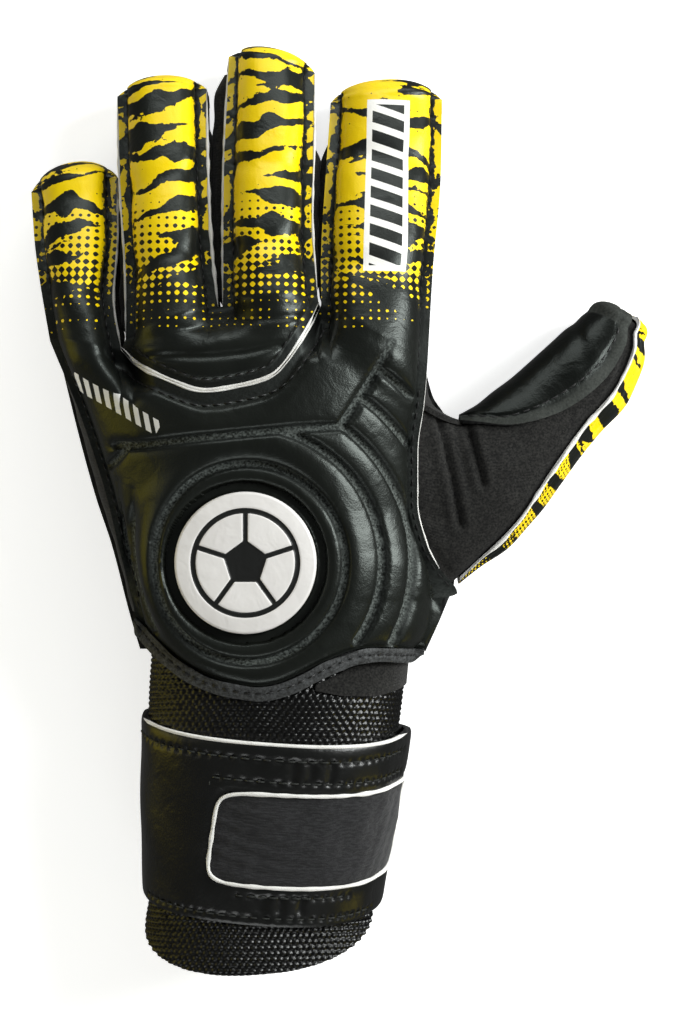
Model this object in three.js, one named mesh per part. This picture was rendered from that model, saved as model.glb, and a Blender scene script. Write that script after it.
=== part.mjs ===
// A left-hand soccer goalkeeper glove, resting palm down with its back up.
// X runs towards the thumb, Y towards the fingertips, Z up out of the back of the hand.
// All lengths are millimetres. The wrist, the palm and every finger are hollow.

import * as THREE from 'three';

// Walls and edges
const BACK_FOAM = 4;
const PALM_FOAM = 6;
const TIP_FOAM = 4;
const LIP_WIDTH = 3.3;
const LIP_THICKNESS = 2.5;
const TEXTILE = 1.6;
const TEXTILE_INSET = 1.5;
const KNIT = 2.3;
const STRAP_THICKNESS = 2.4;
const STRAP_GAP = 0.5;
const GAP = 0.3;
const SEAM_GAP = 0.8;
const FOAM_RAMP = 3;
const TINY = 1e-9;

// Padded fingers
const DOME_POWER = 2.4;
const INNER_FOOT = 0.8;
const TIP_ARC = { power: 2.2, root: 0.6 };
const TIP_SEAM_Z = 12.6;
const CROTCH_DROP = 2.6;
const FINGER_STEPS = 6;
const TIP_STEPS = 3;

// A row for each cross-section of a finger, from its base to the square corners of its tip.
// left and right are the outer edges of the back panel. side is the height from the top of
// the back's lip to the underside of the palm's lip. back and palm are the heights of the
// padding above and below those lips.
const LITTLE_ROWS = [
  { leftX: -88, leftY: 52.5, leftZ: 37, rightX: -65.5, rightY: 49, rightZ: 43, side: 18, back: 13, palm: 9 },
  { leftX: -91.5, leftY: 70, leftZ: 33, rightX: -68.5, rightY: 65, rightZ: 37, side: 16, back: 12, palm: 9 },
  { leftX: -94, leftY: 83.5, leftZ: 28, rightX: -68, rightY: 84.5, rightZ: 30, side: 15, back: 10, palm: 8.5 },
  { leftX: -96, leftY: 100.5, leftZ: 22, rightX: -69, rightY: 105, rightZ: 22, side: 14, back: 9, palm: 8 },
];
const RING_ROWS = [
  { leftX: -64, leftY: 52.5, leftZ: 44, rightX: -36, rightY: 62, rightZ: 46, side: 19, back: 14, palm: 10 },
  { leftX: -65, leftY: 75.5, leftZ: 38, rightX: -38.5, rightY: 83, rightZ: 39, side: 17, back: 12, palm: 9 },
  { leftX: -67.5, leftY: 103, leftZ: 30, rightX: -40, rightY: 107.5, rightZ: 31, side: 15, back: 10, palm: 8.5 },
  { leftX: -69, leftY: 130.5, leftZ: 22, rightX: -41, rightY: 133, rightZ: 22, side: 14, back: 9, palm: 8 },
];
const MIDDLE_ROWS = [
  { leftX: -34.5, leftY: 62, leftZ: 46, rightX: -6, rightY: 66, rightZ: 46, side: 19, back: 14, palm: 10 },
  { leftX: -35, leftY: 87.5, leftZ: 39, rightX: -7.5, rightY: 89, rightZ: 39, side: 17, back: 12, palm: 9 },
  { leftX: -35, leftY: 113.5, leftZ: 31, rightX: -7, rightY: 115, rightZ: 31, side: 15, back: 10, palm: 8.5 },
  { leftX: -34, leftY: 143, leftZ: 22, rightX: -7, rightY: 138, rightZ: 22, side: 14, back: 9, palm: 8 },
];
const INDEX_ROWS = [
  { leftX: -4.8, leftY: 62.5, leftZ: 45, rightX: 27.5, rightY: 45, rightZ: 42, side: 19, back: 14, palm: 10 },
  { leftX: -4.8, leftY: 81.5, leftZ: 38, rightX: 29.5, rightY: 75.5, rightZ: 37, side: 17, back: 12, palm: 9 },
  { leftX: -3.5, leftY: 104.5, leftZ: 31, rightX: 32, rightY: 100.5, rightZ: 30, side: 15, back: 10, palm: 8.5 },
  { leftX: -2, leftY: 128.5, leftZ: 22, rightX: 33, rightY: 129.5, rightZ: 22, side: 14, back: 9, palm: 8 },
];

// reach is how far the middle of the tip goes past its corners
const FINGERS = {
  little: { reach: 8, rows: LITTLE_ROWS },
  ring: { reach: 6, rows: RING_ROWS },
  middle: { reach: 6, rows: MIDDLE_ROWS },
  index: { reach: 8, rows: INDEX_ROWS },
};

// A row for each place along the left edge of the hand, from the wrist to the little finger.
const LEFT_EDGE = [
  { y: -46, x: -60, z: 34, palmX: -61, palmZ: 19 },
  { y: -32.5, x: -62, z: 34, palmX: -65, palmZ: 19 },
  { y: -10, x: -67.5, z: 33, palmX: -71, palmZ: 18 },
  { y: 5, x: -71, z: 34, palmX: -76, palmZ: 18 },
  { y: 29, x: -78.5, z: 36, palmX: -82.5, palmZ: 18 },
  { y: 52.5, x: -88, z: 37, palmX: -88, palmZ: 19 },
];

// A row for each place along the thumb side of the back, from the wrist to the index finger.
const RIGHT_EDGE = [
  { y: -42, x: 27, z: 34 },
  { y: -33, x: 31.5, z: 34 },
  { y: -27, x: 32.5, z: 34 },
  { y: -25, x: 37, z: 35 },
  { y: -17.5, x: 31.5, z: 38 },
  { y: -10, x: 27.5, z: 40 },
  { y: 3, x: 24.5, z: 41 },
  { y: 18, x: 24.5, z: 42 },
  { y: 33.5, x: 26.5, z: 42 },
  { y: 45, x: 27.5, z: 42 },
];

// The same side of the palm, which spreads out to the root of the thumb.
const PALM_RIGHT_EDGE = [
  { y: -44, x: 27, z: 28.4 },
  { y: -33, x: 32, z: 28.4 },
  { y: -27, x: 34.5, z: 28 },
  { y: -22, x: 36.8, z: 20 },
  { y: 28, x: 36.8, z: 18 },
  { y: 36, x: 33, z: 21 },
  { y: 45, x: 27.5, z: 23 },
];

// Height of the crown of the back and of the lowest line of the palm, along the hand
const CROWNS = [
  { y: -50, back: 59, palm: 1 },
  { y: -15, back: 60.5, palm: 3 },
  { y: 30, back: 61, palm: 10 },
  { y: 62, back: 59, palm: 16 },
];
const BACK_DOME = { power: 2.6, root: 1.6 };

// The lower edge of the back, from the outer side of the wrist to the thumb side
const HEM_LINE = [
  { x: -62, y: -32.5 },
  { x: -56.5, y: -36.5 },
  { x: -43, y: -46.5 },
  { x: -28.5, y: -51 },
  { x: -17.5, y: -50.5 },
  { x: -1, y: -43 },
  { x: 10, y: -40.3 },
  { x: 27, y: -42 },
];
const HEM_WIDTH = 4.6;
const HEM_RISE = 1.0;
const HEM_THICKNESS = 3.2;
const HEM_STEPS = 20;

// The U-shaped seam of the knuckle inset, from the little finger's root to the index finger's
const U_SEAM = [
  { x: -65.5, y: 49 },
  { x: -58.5, y: 43 },
  { x: -48, y: 38 },
  { x: -39.5, y: 35.5 },
  { x: -28.5, y: 37 },
  { x: -20, y: 39.5 },
  { x: -15, y: 44 },
  { x: -9.5, y: 52.5 },
  { x: -4.8, y: 62.5 },
];
const U_SEAM_COLUMNS = 11;
const U_SEAM_DEPTH = 1.5;
const U_SEAM_END = 14;

// Places between the wrist and the finger roots where the back and the palm have a row
const BODY_ROWS = [0, 0.1, 0.172, 0.195, 0.28, 0.4, 0.53, 0.66, 0.8, 0.96, 1];
const PALM_ROWS = [0, 0.12, 0.21, 0.4, 0.58, 0.79, 0.87, 0.962, 1];
const KNUCKLE_ROWS = [0, 0.4, 0.75, 1];
const ROOT_BLEND = { from: 3.6, seam: 6.6, to: 18 };

// Where the textile walls of the hand have their stations. At the roots of the fingers the
// palm's edge is tilted, so the walls stop a little higher there.
const OUTER_WALL_Y = [44, 29, 5, -10, -26, -31];
const INDEX_WALL_Y = [34.5, 40];
const ROOT_TILT = { rise: 2, fromY: 10, toY: 50 };

// Palm seam at the wrist
const PALM_END = { leftX: -61, leftY: -43, rightX: 27, rightY: -43 };

// The round badge on the back of the hand and the flat seat that it lies on
const EMBLEM = { x: -27, y: -15, radius: 21, thickness: 3, edge: 1, sides: 32 };
const EMBLEM_CROWN = { radius: 12.6, drop: 0.3 };
const EMBLEM_SEAT = { z: 58.5, inner: 26, outer: 38 };

// A row for each cross-section of the thumb, from the hand to the tip. pad and back are the
// two sides seen from above. padLip and backLip say how far across from the pad's side the
// upper edges of the two foam panels lie, with the textile between them.
const THUMB = [
  { padX: 38.2, padY: 30.3, backX: 42, backY: -20.4, midZ: 28, halfZ: 13, padLip: 0.05, backLip: 0.97 },
  { padX: 42, padY: 32.3, backX: 56.5, backY: -8, midZ: 26, halfZ: 13.5, padLip: 0.13, backLip: 0.89 },
  { padX: 48, padY: 37, backX: 70, backY: 8.5, midZ: 23, halfZ: 14, padLip: 0.38, backLip: 0.85 },
  { padX: 56.5, padY: 43.5, backX: 81, backY: 22.5, midZ: 19.5, halfZ: 14, padLip: 0.6, backLip: 0.85 },
  { padX: 68.5, padY: 54.2, backX: 91.3, backY: 33.7, midZ: 16.5, halfZ: 13.5, padLip: 0.68, backLip: 0.85 },
  { padX: 76, padY: 61, backX: 97, backY: 46, midZ: 14.5, halfZ: 12.5, padLip: 0.68, backLip: 0.85 },
  { padX: 79.6, padY: 64.1, backX: 97.5, backY: 54, midZ: 13.5, halfZ: 11.5, padLip: 0.68, backLip: 0.86 },
];
const THUMB_UNDER = { padLip: 0.42, backLip: 0.62 };
const THUMB_POWER = 2.3;
const THUMB_CELLS = { pad: 9, back: 7, web: 6, under: 2 };
const THUMB_FOAM = 4;
const THUMB_TIP = { reach: 5, shrink: 0.72 };
const THUMB_TEXTILE_INSET = 1.8;
const PANEL_GAP_ANGLE = 0.06;
const WEB_ROOT = { fromY: 32.5, toY: -21, tuck: 1.6 };

// A row for each cross-section of the knit cuff, from the hand towards its mouth
const CUFF = [
  { y: -43.8, centreX: -18, half: 39.2, top: 52, low: -2, flat: 5 },
  { y: -57, centreX: -19, half: 38.8, top: 56, low: -2.5, flat: 2.9 },
  { y: -124, centreX: -24.4, half: 33.3, top: 49.8, low: -2.5, flat: 2.9 },
];
const CUFF_MOUTH = { y: -126.5, slope: 0.06, topY: -12, grow: 1.6 };
const TUBE_SIDES = 32;
const TUBE_POWER = 2.4;

// The strap, wound once round the cuff with its free end lapping over its start
const STRAP = { topY: -65, bottomY: -120, slope: -0.07, bulge: -4, start: -12, lap: 26, rise: 34 };
const STRAP_ROWS = [0, 0.27, 0.48, 0.7, 1];
const WINDOW = { firstRow: 1, lastRow: 2, fromAngle: 120, toAngle: 12 };
const PATCH = { thickness: 1.2, margin: 0.5, marginDegrees: 0.7 };

// The smooth strip between the hem and the knit, on the thumb side
const BAND = { fromY: -47.5, toY: -56, fromAngle: 6, toAngle: 74, lift: 0.3, thickness: 1.2, steps: 8 };

const MATERIALS = {
  print: { color: 0xe8cc12, roughness: 0.55 },
  latex: { color: 0x1e201e, roughness: 0.45 },
  textile: { color: 0x2c2a28, roughness: 0.9 },
  grain: { color: 0x3a3b3c, roughness: 0.7 },
  knit: { color: 0x121312, roughness: 0.8 },
  strap: { color: 0x1a1b1b, roughness: 0.35 },
  badge: { color: 0xe0ddd9, roughness: 0.5 },
};

const mix = (a, b, part) => a + (b - a) * part;
const clamp01 = (value) => Math.min(1, Math.max(0, value));
const signedPower = (value, power) => Math.sign(value) * Math.abs(value) ** power;

function smooth(from, to, value) {
  const part = clamp01((value - from) / (to - from));
  return part * part * (3 - 2 * part);
}

// A value of a table by the place along one of its columns, straight between rows
function lookUp(rows, by, key, place) {
  const rising = rows[rows.length - 1][by] > rows[0][by];
  let next = rows.findIndex((row) => (rising ? row[by] >= place : row[by] <= place));
  if (next < 0) next = rows.length - 1;
  if (next === 0) next = 1;
  const from = rows[next - 1];
  const to = rows[next];
  return mix(from[key], to[key], clamp01((place - from[by]) / (to[by] - from[by])));
}

// Every column of a table at a part of its length, on a smooth curve through the rows
function sectionAt(rows, part) {
  const last = rows.length - 1;
  const scaled = clamp01(part) * last;
  const index = Math.min(last - 1, Math.floor(scaled));
  const t = scaled - index;
  const section = {};
  for (const key of Object.keys(rows[0])) {
    const p1 = rows[index][key];
    const p2 = rows[index + 1][key];
    const p0 = index > 0 ? rows[index - 1][key] : 2 * p1 - p2;
    const p3 = index < last - 1 ? rows[index + 2][key] : 2 * p2 - p1;
    const slope1 = (p2 - p0) / 2;
    const slope2 = (p3 - p1) / 2;
    const rise = p2 - p1;
    section[key] = p1 + slope1 * t + (3 * rise - 2 * slope1 - slope2) * t * t
      + (slope1 + slope2 - 2 * rise) * t * t * t;
  }
  return section;
}

function curveThrough(points) {
  return new THREE.CatmullRomCurve3(points.map((point) => new THREE.Vector3(point.x, point.y, 0)));
}

// A closed wall from a grid of cells: an outer and an inner face, and an edge all round
function sheet(columns, rows, hasCell, outer, inner) {
  const points = [];
  const indexOf = new Map();
  const vertex = (side, column, row) => {
    const key = `${side} ${column} ${row}`;
    if (!indexOf.has(key)) {
      indexOf.set(key, points.length);
      points.push((side === 'outer' ? outer : inner)(column, row));
    }
    return indexOf.get(key);
  };
  const triangles = [];
  const quad = (a, b, c, d) => triangles.push(a, b, c, a, c, d);
  const wall = (from, to) => quad(
    vertex('outer', ...from), vertex('inner', ...from), vertex('inner', ...to), vertex('outer', ...to),
  );
  const present = (column, row) => (
    column >= 0 && row >= 0 && column < columns && row < rows && hasCell(column, row)
  );
  for (let row = 0; row < rows; row += 1) {
    for (let column = 0; column < columns; column += 1) {
      if (!present(column, row)) continue;
      const corners = [[column, row], [column + 1, row], [column + 1, row + 1], [column, row + 1]];
      quad(...corners.map((corner) => vertex('outer', ...corner)));
      quad(...corners.map((corner) => vertex('inner', ...corner)).reverse());
      if (!present(column, row - 1)) wall(corners[0], corners[1]);
      if (!present(column + 1, row)) wall(corners[1], corners[2]);
      if (!present(column, row + 1)) wall(corners[2], corners[3]);
      if (!present(column - 1, row)) wall(corners[3], corners[0]);
    }
  }
  return solidFrom(points, triangles);
}

// A geometry with its faces turned outwards
function solidFrom(points, triangles) {
  let volume = 0;
  for (let i = 0; i < triangles.length; i += 3) {
    const [a, b, c] = [points[triangles[i]], points[triangles[i + 1]], points[triangles[i + 2]]];
    volume += a.dot(b.clone().cross(c));
  }
  if (volume < 0) triangles.reverse();
  const geometry = new THREE.BufferGeometry();
  geometry.setAttribute('position', new THREE.Float32BufferAttribute(points.flatMap((p) => p.toArray()), 3));
  geometry.setIndex(triangles);
  geometry.computeVertexNormals();
  return geometry;
}

// Columns across a padded finger: the edge, the foot of the padding and points on its dome
const FINGER_COLUMNS = [-1, -0.9, -0.55, 0, 0.55, 0.9, 1];
const FINGER_CELLS = FINGER_COLUMNS.length + 1;

function acrossFinger(column, foot) {
  if (column === 0) return -1;
  if (column === FINGER_CELLS) return 1;
  return FINGER_COLUMNS[column - 1] * foot;
}

function dome(across, foot) {
  return Math.abs(across) >= foot ? 0 : (1 - (Math.abs(across) / foot) ** DOME_POWER) ** (1 / DOME_POWER);
}

// A point of a finger's back or palm panel. row runs along the finger and on round its tip.
function fingerPoint(finger, column, row, side) {
  const part = Math.min(1, row / FINGER_STEPS);
  const turn = Math.max(0, row - FINGER_STEPS) / TIP_STEPS * Math.PI / 2;
  const section = sectionAt(finger.rows, part);
  const edge = new THREE.Vector2(section.rightX - section.leftX, section.rightY - section.leftY);
  const half = edge.length() / 2;
  const foot = 1 - LIP_WIDTH / half;
  const foam = side === 'back' ? BACK_FOAM : PALM_FOAM;
  const innerFoot = foot - (foam * INNER_FOOT) / half;
  const across = acrossFinger(column, foot);
  const share = (across + 1) / 2;
  const ahead = new THREE.Vector2(-edge.y, edge.x).normalize();
  const lipZ = mix(section.leftZ, section.rightZ, share);
  const up = side === 'back' ? 1 : -1;
  const base = side === 'back' ? lipZ : lipZ - section.side;
  const rise = side === 'back' ? section.back : section.palm;
  const seamZ = side === 'back' ? TIP_SEAM_Z : TIP_SEAM_Z - GAP;
  const outerZ = base + up * rise * dome(across, foot);
  const innerZ = base - up * LIP_THICKNESS + up * (rise + LIP_THICKNESS - foam) * dome(across, innerFoot);
  const reach = finger.reach * (1 - Math.abs(across) ** TIP_ARC.power) ** TIP_ARC.root;
  const place = (forward, z) => new THREE.Vector3(
    mix(section.leftX, section.rightX, share) + ahead.x * forward,
    mix(section.leftY, section.rightY, share) + ahead.y * forward,
    mix(seamZ, z, Math.cos(turn)),
  );
  const inside = reach - TIP_FOAM;
  const corner = row >= FINGER_STEPS ? Math.min(inside, 0) : 0;
  return {
    outer: place(reach * Math.sin(turn), outerZ),
    inner: place(Math.max(inside, 0) * Math.sin(turn) + corner, innerZ),
  };
}

// Height of the back of the hand, with its flat lip at both sides and the badge's seat
function backHeight(x, y) {
  const left = lookUp(LEFT_EDGE, 'y', 'x', y) + LIP_WIDTH;
  const right = lookUp(RIGHT_EDGE, 'y', 'x', y) - LIP_WIDTH;
  const share = clamp01((x - left) / (right - left));
  const lipZ = mix(lookUp(LEFT_EDGE, 'y', 'z', y), lookUp(RIGHT_EDGE, 'y', 'z', y), share);
  const shape = (1 - Math.abs(2 * share - 1) ** BACK_DOME.power) ** (1 / BACK_DOME.root);
  const height = mix(lipZ, lookUp(CROWNS, 'y', 'back', y), shape);
  const distance = Math.hypot(x - EMBLEM.x, y - EMBLEM.y);
  return mix(EMBLEM_SEAT.z, height, smooth(EMBLEM_SEAT.inner, EMBLEM_SEAT.outer, distance));
}

// How thick the foam of the back or the palm is at a distance from the panel's side edge
function foamAt(distance, foam) {
  return mix(LIP_THICKNESS, foam, smooth(LIP_WIDTH, LIP_WIDTH + FOAM_RAMP, distance));
}

// Height of the underside of the palm
function palmHeight(x, y) {
  const left = lookUp(LEFT_EDGE, 'y', 'palmX', y) + LIP_WIDTH;
  const right = lookUp(PALM_RIGHT_EDGE, 'y', 'x', y) - LIP_WIDTH;
  const share = clamp01((x - left) / (right - left));
  const lipZ = mix(lookUp(LEFT_EDGE, 'y', 'palmZ', y), lookUp(PALM_RIGHT_EDGE, 'y', 'z', y), share);
  const shape = (1 - Math.abs(2 * share - 1) ** BACK_DOME.power) ** (1 / BACK_DOME.root);
  return mix(lipZ, lookUp(CROWNS, 'y', 'palm', y), shape);
}

// A plan point inside four edges. The side edges only bend the columns next to them.
function patchPoint(across, up, bottom, top, left, right) {
  const low = bottom(across);
  const high = top(across);
  const leftBend = left(up).sub(bottom(0).lerp(top(0), up)).multiplyScalar((1 - across) ** 3);
  const rightBend = right(up).sub(bottom(1).lerp(top(1), up)).multiplyScalar(across ** 3);
  return low.clone().lerp(high, up).add(leftBend).add(rightBend);
}

function onTable(rows, by, key, from, to) {
  return (part) => {
    const y = mix(from, to, part);
    return new THREE.Vector3(lookUp(rows, by, key, y), y, 0);
  };
}

// The finger roots, as columns of a body panel: where each lies and how thick the foam is there
function rootColumns(names, side) {
  return names.flatMap((name) => Array.from({ length: FINGER_CELLS + 1 }, (_, column) => {
    const point = fingerPoint(FINGERS[name], column, 0, side);
    return {
      x: point.outer.x, y: point.outer.y, z: point.outer.z,
      drop: point.outer.z - point.inner.z, fade: ROOT_BLEND.to,
    };
  }));
}

// The column of the sheet at which a block of finger columns starts, or -1 between fingers
function blockOf(column, starts) {
  return starts.findIndex((start) => column >= start && column < start + FINGER_CELLS);
}

function backPanel() {
  const seam = curveThrough(U_SEAM);
  const seamLength = seam.getLength();
  const little = rootColumns(['little'], 'back');
  const index = rootColumns(['index'], 'back');
  const between = Array.from({ length: U_SEAM_COLUMNS - 1 }, (_, i) => {
    const part = (i + 1) / U_SEAM_COLUMNS;
    const point = seam.getPointAt(part);
    const fromEnd = smooth(0, U_SEAM_END, Math.min(part, 1 - part) * seamLength);
    const lipZ = mix(little[FINGER_CELLS].z, index[0].z, part);
    return {
      x: point.x, y: point.y, z: mix(lipZ, backHeight(point.x, point.y) - U_SEAM_DEPTH, fromEnd),
      drop: mix(LIP_THICKNESS, BACK_FOAM - U_SEAM_DEPTH, fromEnd),
      fade: mix(ROOT_BLEND.to, ROOT_BLEND.seam, fromEnd),
    };
  });
  const roots = [...little, ...between, ...index];
  const columns = roots.length - 1;
  const indexStart = columns - FINGER_CELLS;
  const hem = curveThrough(HEM_LINE);
  const span = roots[columns].x - roots[0].x;
  const across = roots.map((root) => (root.x - roots[0].x) / span);
  const top = (part) => {
    const next = Math.max(1, across.findIndex((value) => value >= part - TINY));
    const share = (part - across[next - 1]) / (across[next] - across[next - 1]);
    const [from, to] = [roots[next - 1], roots[next]];
    return new THREE.Vector3(mix(from.x, to.x, share), mix(from.y, to.y, share), 0);
  };
  const bottom = (part) => hem.getPointAt(part);
  const left = onTable(LEFT_EDGE, 'y', 'x', HEM_LINE[0].y, roots[0].y);
  const right = onTable(RIGHT_EDGE, 'y', 'x', HEM_LINE[HEM_LINE.length - 1].y, roots[columns].y);
  const bodyRows = BODY_ROWS.length - 1;
  const bodyPoint = (column, row) => {
    const root = roots[column];
    const plan = patchPoint(across[column], BODY_ROWS[row], bottom, top, left, right);
    const away = 1 - smooth(ROOT_BLEND.from, root.fade, Math.hypot(plan.x - root.x, plan.y - root.y));
    const z = mix(backHeight(plan.x, plan.y), root.z, away);
    const fromLeft = plan.x - lookUp(LEFT_EDGE, 'y', 'x', plan.y);
    const fromRight = lookUp(RIGHT_EDGE, 'y', 'x', plan.y) - plan.x;
    return { plan, z, drop: mix(foamAt(Math.min(fromLeft, fromRight), BACK_FOAM), root.drop, away) };
  };
  const point = (column, row, face) => {
    if (row > bodyRows) {
      const name = column <= FINGER_CELLS ? 'little' : 'index';
      const own = column <= FINGER_CELLS ? column : column - indexStart;
      return fingerPoint(FINGERS[name], own, row - bodyRows, 'back')[face];
    }
    const { plan, z, drop } = bodyPoint(column, row);
    return new THREE.Vector3(plan.x, plan.y, face === 'outer' ? z : z - drop);
  };
  return sheet(
    columns,
    bodyRows + FINGER_STEPS + TIP_STEPS,
    (column, row) => row < bodyRows || column < FINGER_CELLS || column >= indexStart,
    (column, row) => point(column, row, 'outer'),
    (column, row) => point(column, row, 'inner'),
  );
}

function knucklePanel() {
  const roots = rootColumns(['ring', 'middle'], 'back');
  const columns = roots.length - 1;
  const middleStart = FINGER_CELLS + 1;
  const seam = curveThrough(U_SEAM);
  const seamLength = seam.getLength();
  const bodyRows = KNUCKLE_ROWS.length - 1;
  const edgePoint = (part) => {
    const point = seam.getPointAt(part);
    const tangent = seam.getTangentAt(part);
    return point.add(new THREE.Vector3(-tangent.y, tangent.x, 0).multiplyScalar(SEAM_GAP));
  };
  const point = (column, row, face) => {
    if (row > bodyRows) {
      const name = column <= FINGER_CELLS ? 'ring' : 'middle';
      const own = column <= FINGER_CELLS ? column : column - middleStart;
      return fingerPoint(FINGERS[name], own, row - bodyRows, 'back')[face];
    }
    const root = roots[column];
    const part = column / columns;
    const up = KNUCKLE_ROWS[row];
    const low = edgePoint(part);
    const fromEnd = smooth(0, U_SEAM_END, Math.min(part, 1 - part) * seamLength);
    const lipZ = mix(roots[0].z, roots[columns].z, part);
    const lowZ = mix(lipZ, backHeight(low.x, low.y) - U_SEAM_DEPTH, fromEnd);
    const lowDrop = mix(LIP_THICKNESS, BACK_FOAM - U_SEAM_DEPTH, fromEnd);
    const z = mix(lowZ, root.z, up) + U_SEAM_DEPTH * fromEnd * Math.sin(Math.PI * up);
    const drop = mix(lowDrop, root.drop, up);
    return new THREE.Vector3(mix(low.x, root.x, up), mix(low.y, root.y, up), face === 'outer' ? z : z - drop);
  };
  return sheet(
    columns,
    bodyRows + FINGER_STEPS + TIP_STEPS,
    (column, row) => row < bodyRows || column !== FINGER_CELLS,
    (column, row) => point(column, row, 'outer'),
    (column, row) => point(column, row, 'inner'),
  );
}

function palmPanel() {
  const names = ['little', 'ring', 'middle', 'index'];
  const roots = rootColumns(names, 'palm');
  const columns = roots.length - 1;
  const starts = names.map((_, i) => i * (FINGER_CELLS + 1));
  const span = roots[columns].x - roots[0].x;
  const bodyRows = PALM_ROWS.length - 1;
  const bottom = (part) => new THREE.Vector3(
    mix(PALM_END.leftX, PALM_END.rightX, part), mix(PALM_END.leftY, PALM_END.rightY, part), 0,
  );
  const left = onTable(LEFT_EDGE, 'y', 'palmX', PALM_END.leftY, roots[0].y);
  const right = onTable(PALM_RIGHT_EDGE, 'y', 'x', PALM_END.rightY, roots[columns].y);
  const bodyPoint = (column, row) => {
    const root = roots[column];
    const across = (root.x - roots[0].x) / span;
    const rootPlan = new THREE.Vector3(root.x, root.y, 0);
    const ends = [roots[0], roots[columns]].map((end) => new THREE.Vector3(end.x, end.y, 0));
    const top = (part) => {
      if (part === 0) return ends[0].clone();
      return part === 1 ? ends[1].clone() : rootPlan.clone();
    };
    const plan = patchPoint(across, PALM_ROWS[row], bottom, top, left, right);
    const away = 1 - smooth(ROOT_BLEND.from, root.fade, Math.hypot(plan.x - root.x, plan.y - root.y));
    const z = mix(palmHeight(plan.x, plan.y), root.z, away);
    const fromLeft = plan.x - lookUp(LEFT_EDGE, 'y', 'palmX', plan.y);
    const fromRight = lookUp(PALM_RIGHT_EDGE, 'y', 'x', plan.y) - plan.x;
    return { plan, z, drop: mix(-foamAt(Math.min(fromLeft, fromRight), PALM_FOAM), root.drop, away) };
  };
  const point = (column, row, face) => {
    if (row > bodyRows) {
      const block = Math.floor(column / (FINGER_CELLS + 1));
      return fingerPoint(FINGERS[names[block]], column - starts[block], row - bodyRows, 'palm')[face];
    }
    const { plan, z, drop } = bodyPoint(column, row);
    return new THREE.Vector3(plan.x, plan.y, face === 'outer' ? z : z - drop);
  };
  return sheet(
    columns,
    bodyRows + FINGER_STEPS + TIP_STEPS,
    (column, row) => row < bodyRows || blockOf(column, starts) >= 0,
    (column, row) => point(column, row, 'outer'),
    (column, row) => point(column, row, 'inner'),
  );
}

// A standing textile wall along a path of stations, each with its edge point, its outward
// direction, and the heights that it stands between. lowX is there where it leans outwards.
function standingWall(stations) {
  const place = (station, row, inset) => new THREE.Vector3(
    (row ? station.x : station.lowX ?? station.x) - station.outX * inset,
    station.y - station.outY * inset,
    row ? station.topZ : station.lowZ,
  );
  return sheet(
    stations.length - 1,
    1,
    () => true,
    (i, row) => place(stations[i], row, TEXTILE_INSET),
    (i, row) => place(stations[i], row, TEXTILE_INSET + TEXTILE),
  );
}

// Stations along one side of a finger, from its root to just short of the tip's wall
function fingerSide(name, side) {
  const { rows } = FINGERS[name];
  const tip = rows[rows.length - 1];
  const length = Math.hypot(rows[0].leftX - tip.leftX, rows[0].leftY - tip.leftY);
  const stop = 1 - (TIP_FOAM + 2 * GAP) / length;
  return Array.from({ length: FINGER_STEPS + 1 }, (_, step) => {
    const section = sectionAt(rows, Math.min(step / FINGER_STEPS, stop));
    const [x, y, z] = [section[`${side}X`], section[`${side}Y`], section[`${side}Z`]];
    const across = new THREE.Vector2(section.rightX - section.leftX, section.rightY - section.leftY);
    const share = (TEXTILE_INSET + TEXTILE) / across.length();
    const farZ = side === 'right' ? section.leftZ : section.rightZ;
    const insetZ = mix(z, farZ, share);
    const cornerZ = step === FINGER_STEPS ? tip[`${side}Z`] : z;
    across.normalize().multiplyScalar(side === 'right' ? 1 : -1);
    return {
      x, y, outX: across.x, outY: across.y,
      topZ: Math.min(cornerZ, insetZ) - LIP_THICKNESS - GAP,
      lowZ: Math.max(z, insetZ) - section.side + LIP_THICKNESS + GAP,
    };
  });
}

// The textile wall from one finger's tip down round the crotch and up the next finger
function crotchWall(leftName, rightName) {
  const down = fingerSide(leftName, 'right').reverse();
  const up = fingerSide(rightName, 'left');
  const from = down[down.length - 1];
  const to = up[0];
  const crotch = {
    x: (from.x + to.x) / 2, y: Math.min(from.y, to.y) - CROTCH_DROP + TEXTILE_INSET, outX: 0, outY: 1,
    topZ: Math.min(from.topZ, to.topZ), lowZ: Math.max(from.lowZ, to.lowZ),
  };
  return standingWall([...down, crotch, ...up]);
}

function rootTilt(y) {
  return ROOT_TILT.rise * smooth(ROOT_TILT.fromY, ROOT_TILT.toY, y);
}

function outerWall() {
  const along = fingerSide('little', 'left').reverse();
  const body = OUTER_WALL_Y.map((y) => ({
    x: lookUp(LEFT_EDGE, 'y', 'x', y), y, outX: -1, outY: 0,
    lowX: lookUp(LEFT_EDGE, 'y', 'palmX', y),
    topZ: lookUp(LEFT_EDGE, 'y', 'z', y) - LIP_THICKNESS - GAP,
    lowZ: lookUp(LEFT_EDGE, 'y', 'palmZ', y) + LIP_THICKNESS + GAP + rootTilt(y),
  }));
  return standingWall([...along, ...body]);
}

function indexWall() {
  const body = INDEX_WALL_Y.map((y) => ({
    x: lookUp(RIGHT_EDGE, 'y', 'x', y), y, outX: 1, outY: 0,
    lowX: lookUp(PALM_RIGHT_EDGE, 'y', 'x', y),
    topZ: lookUp(RIGHT_EDGE, 'y', 'z', y) - LIP_THICKNESS - GAP,
    lowZ: lookUp(PALM_RIGHT_EDGE, 'y', 'z', y) + LIP_THICKNESS + GAP + ROOT_TILT.rise,
  }));
  return standingWall([...body, ...fingerSide('index', 'right')]);
}

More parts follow.
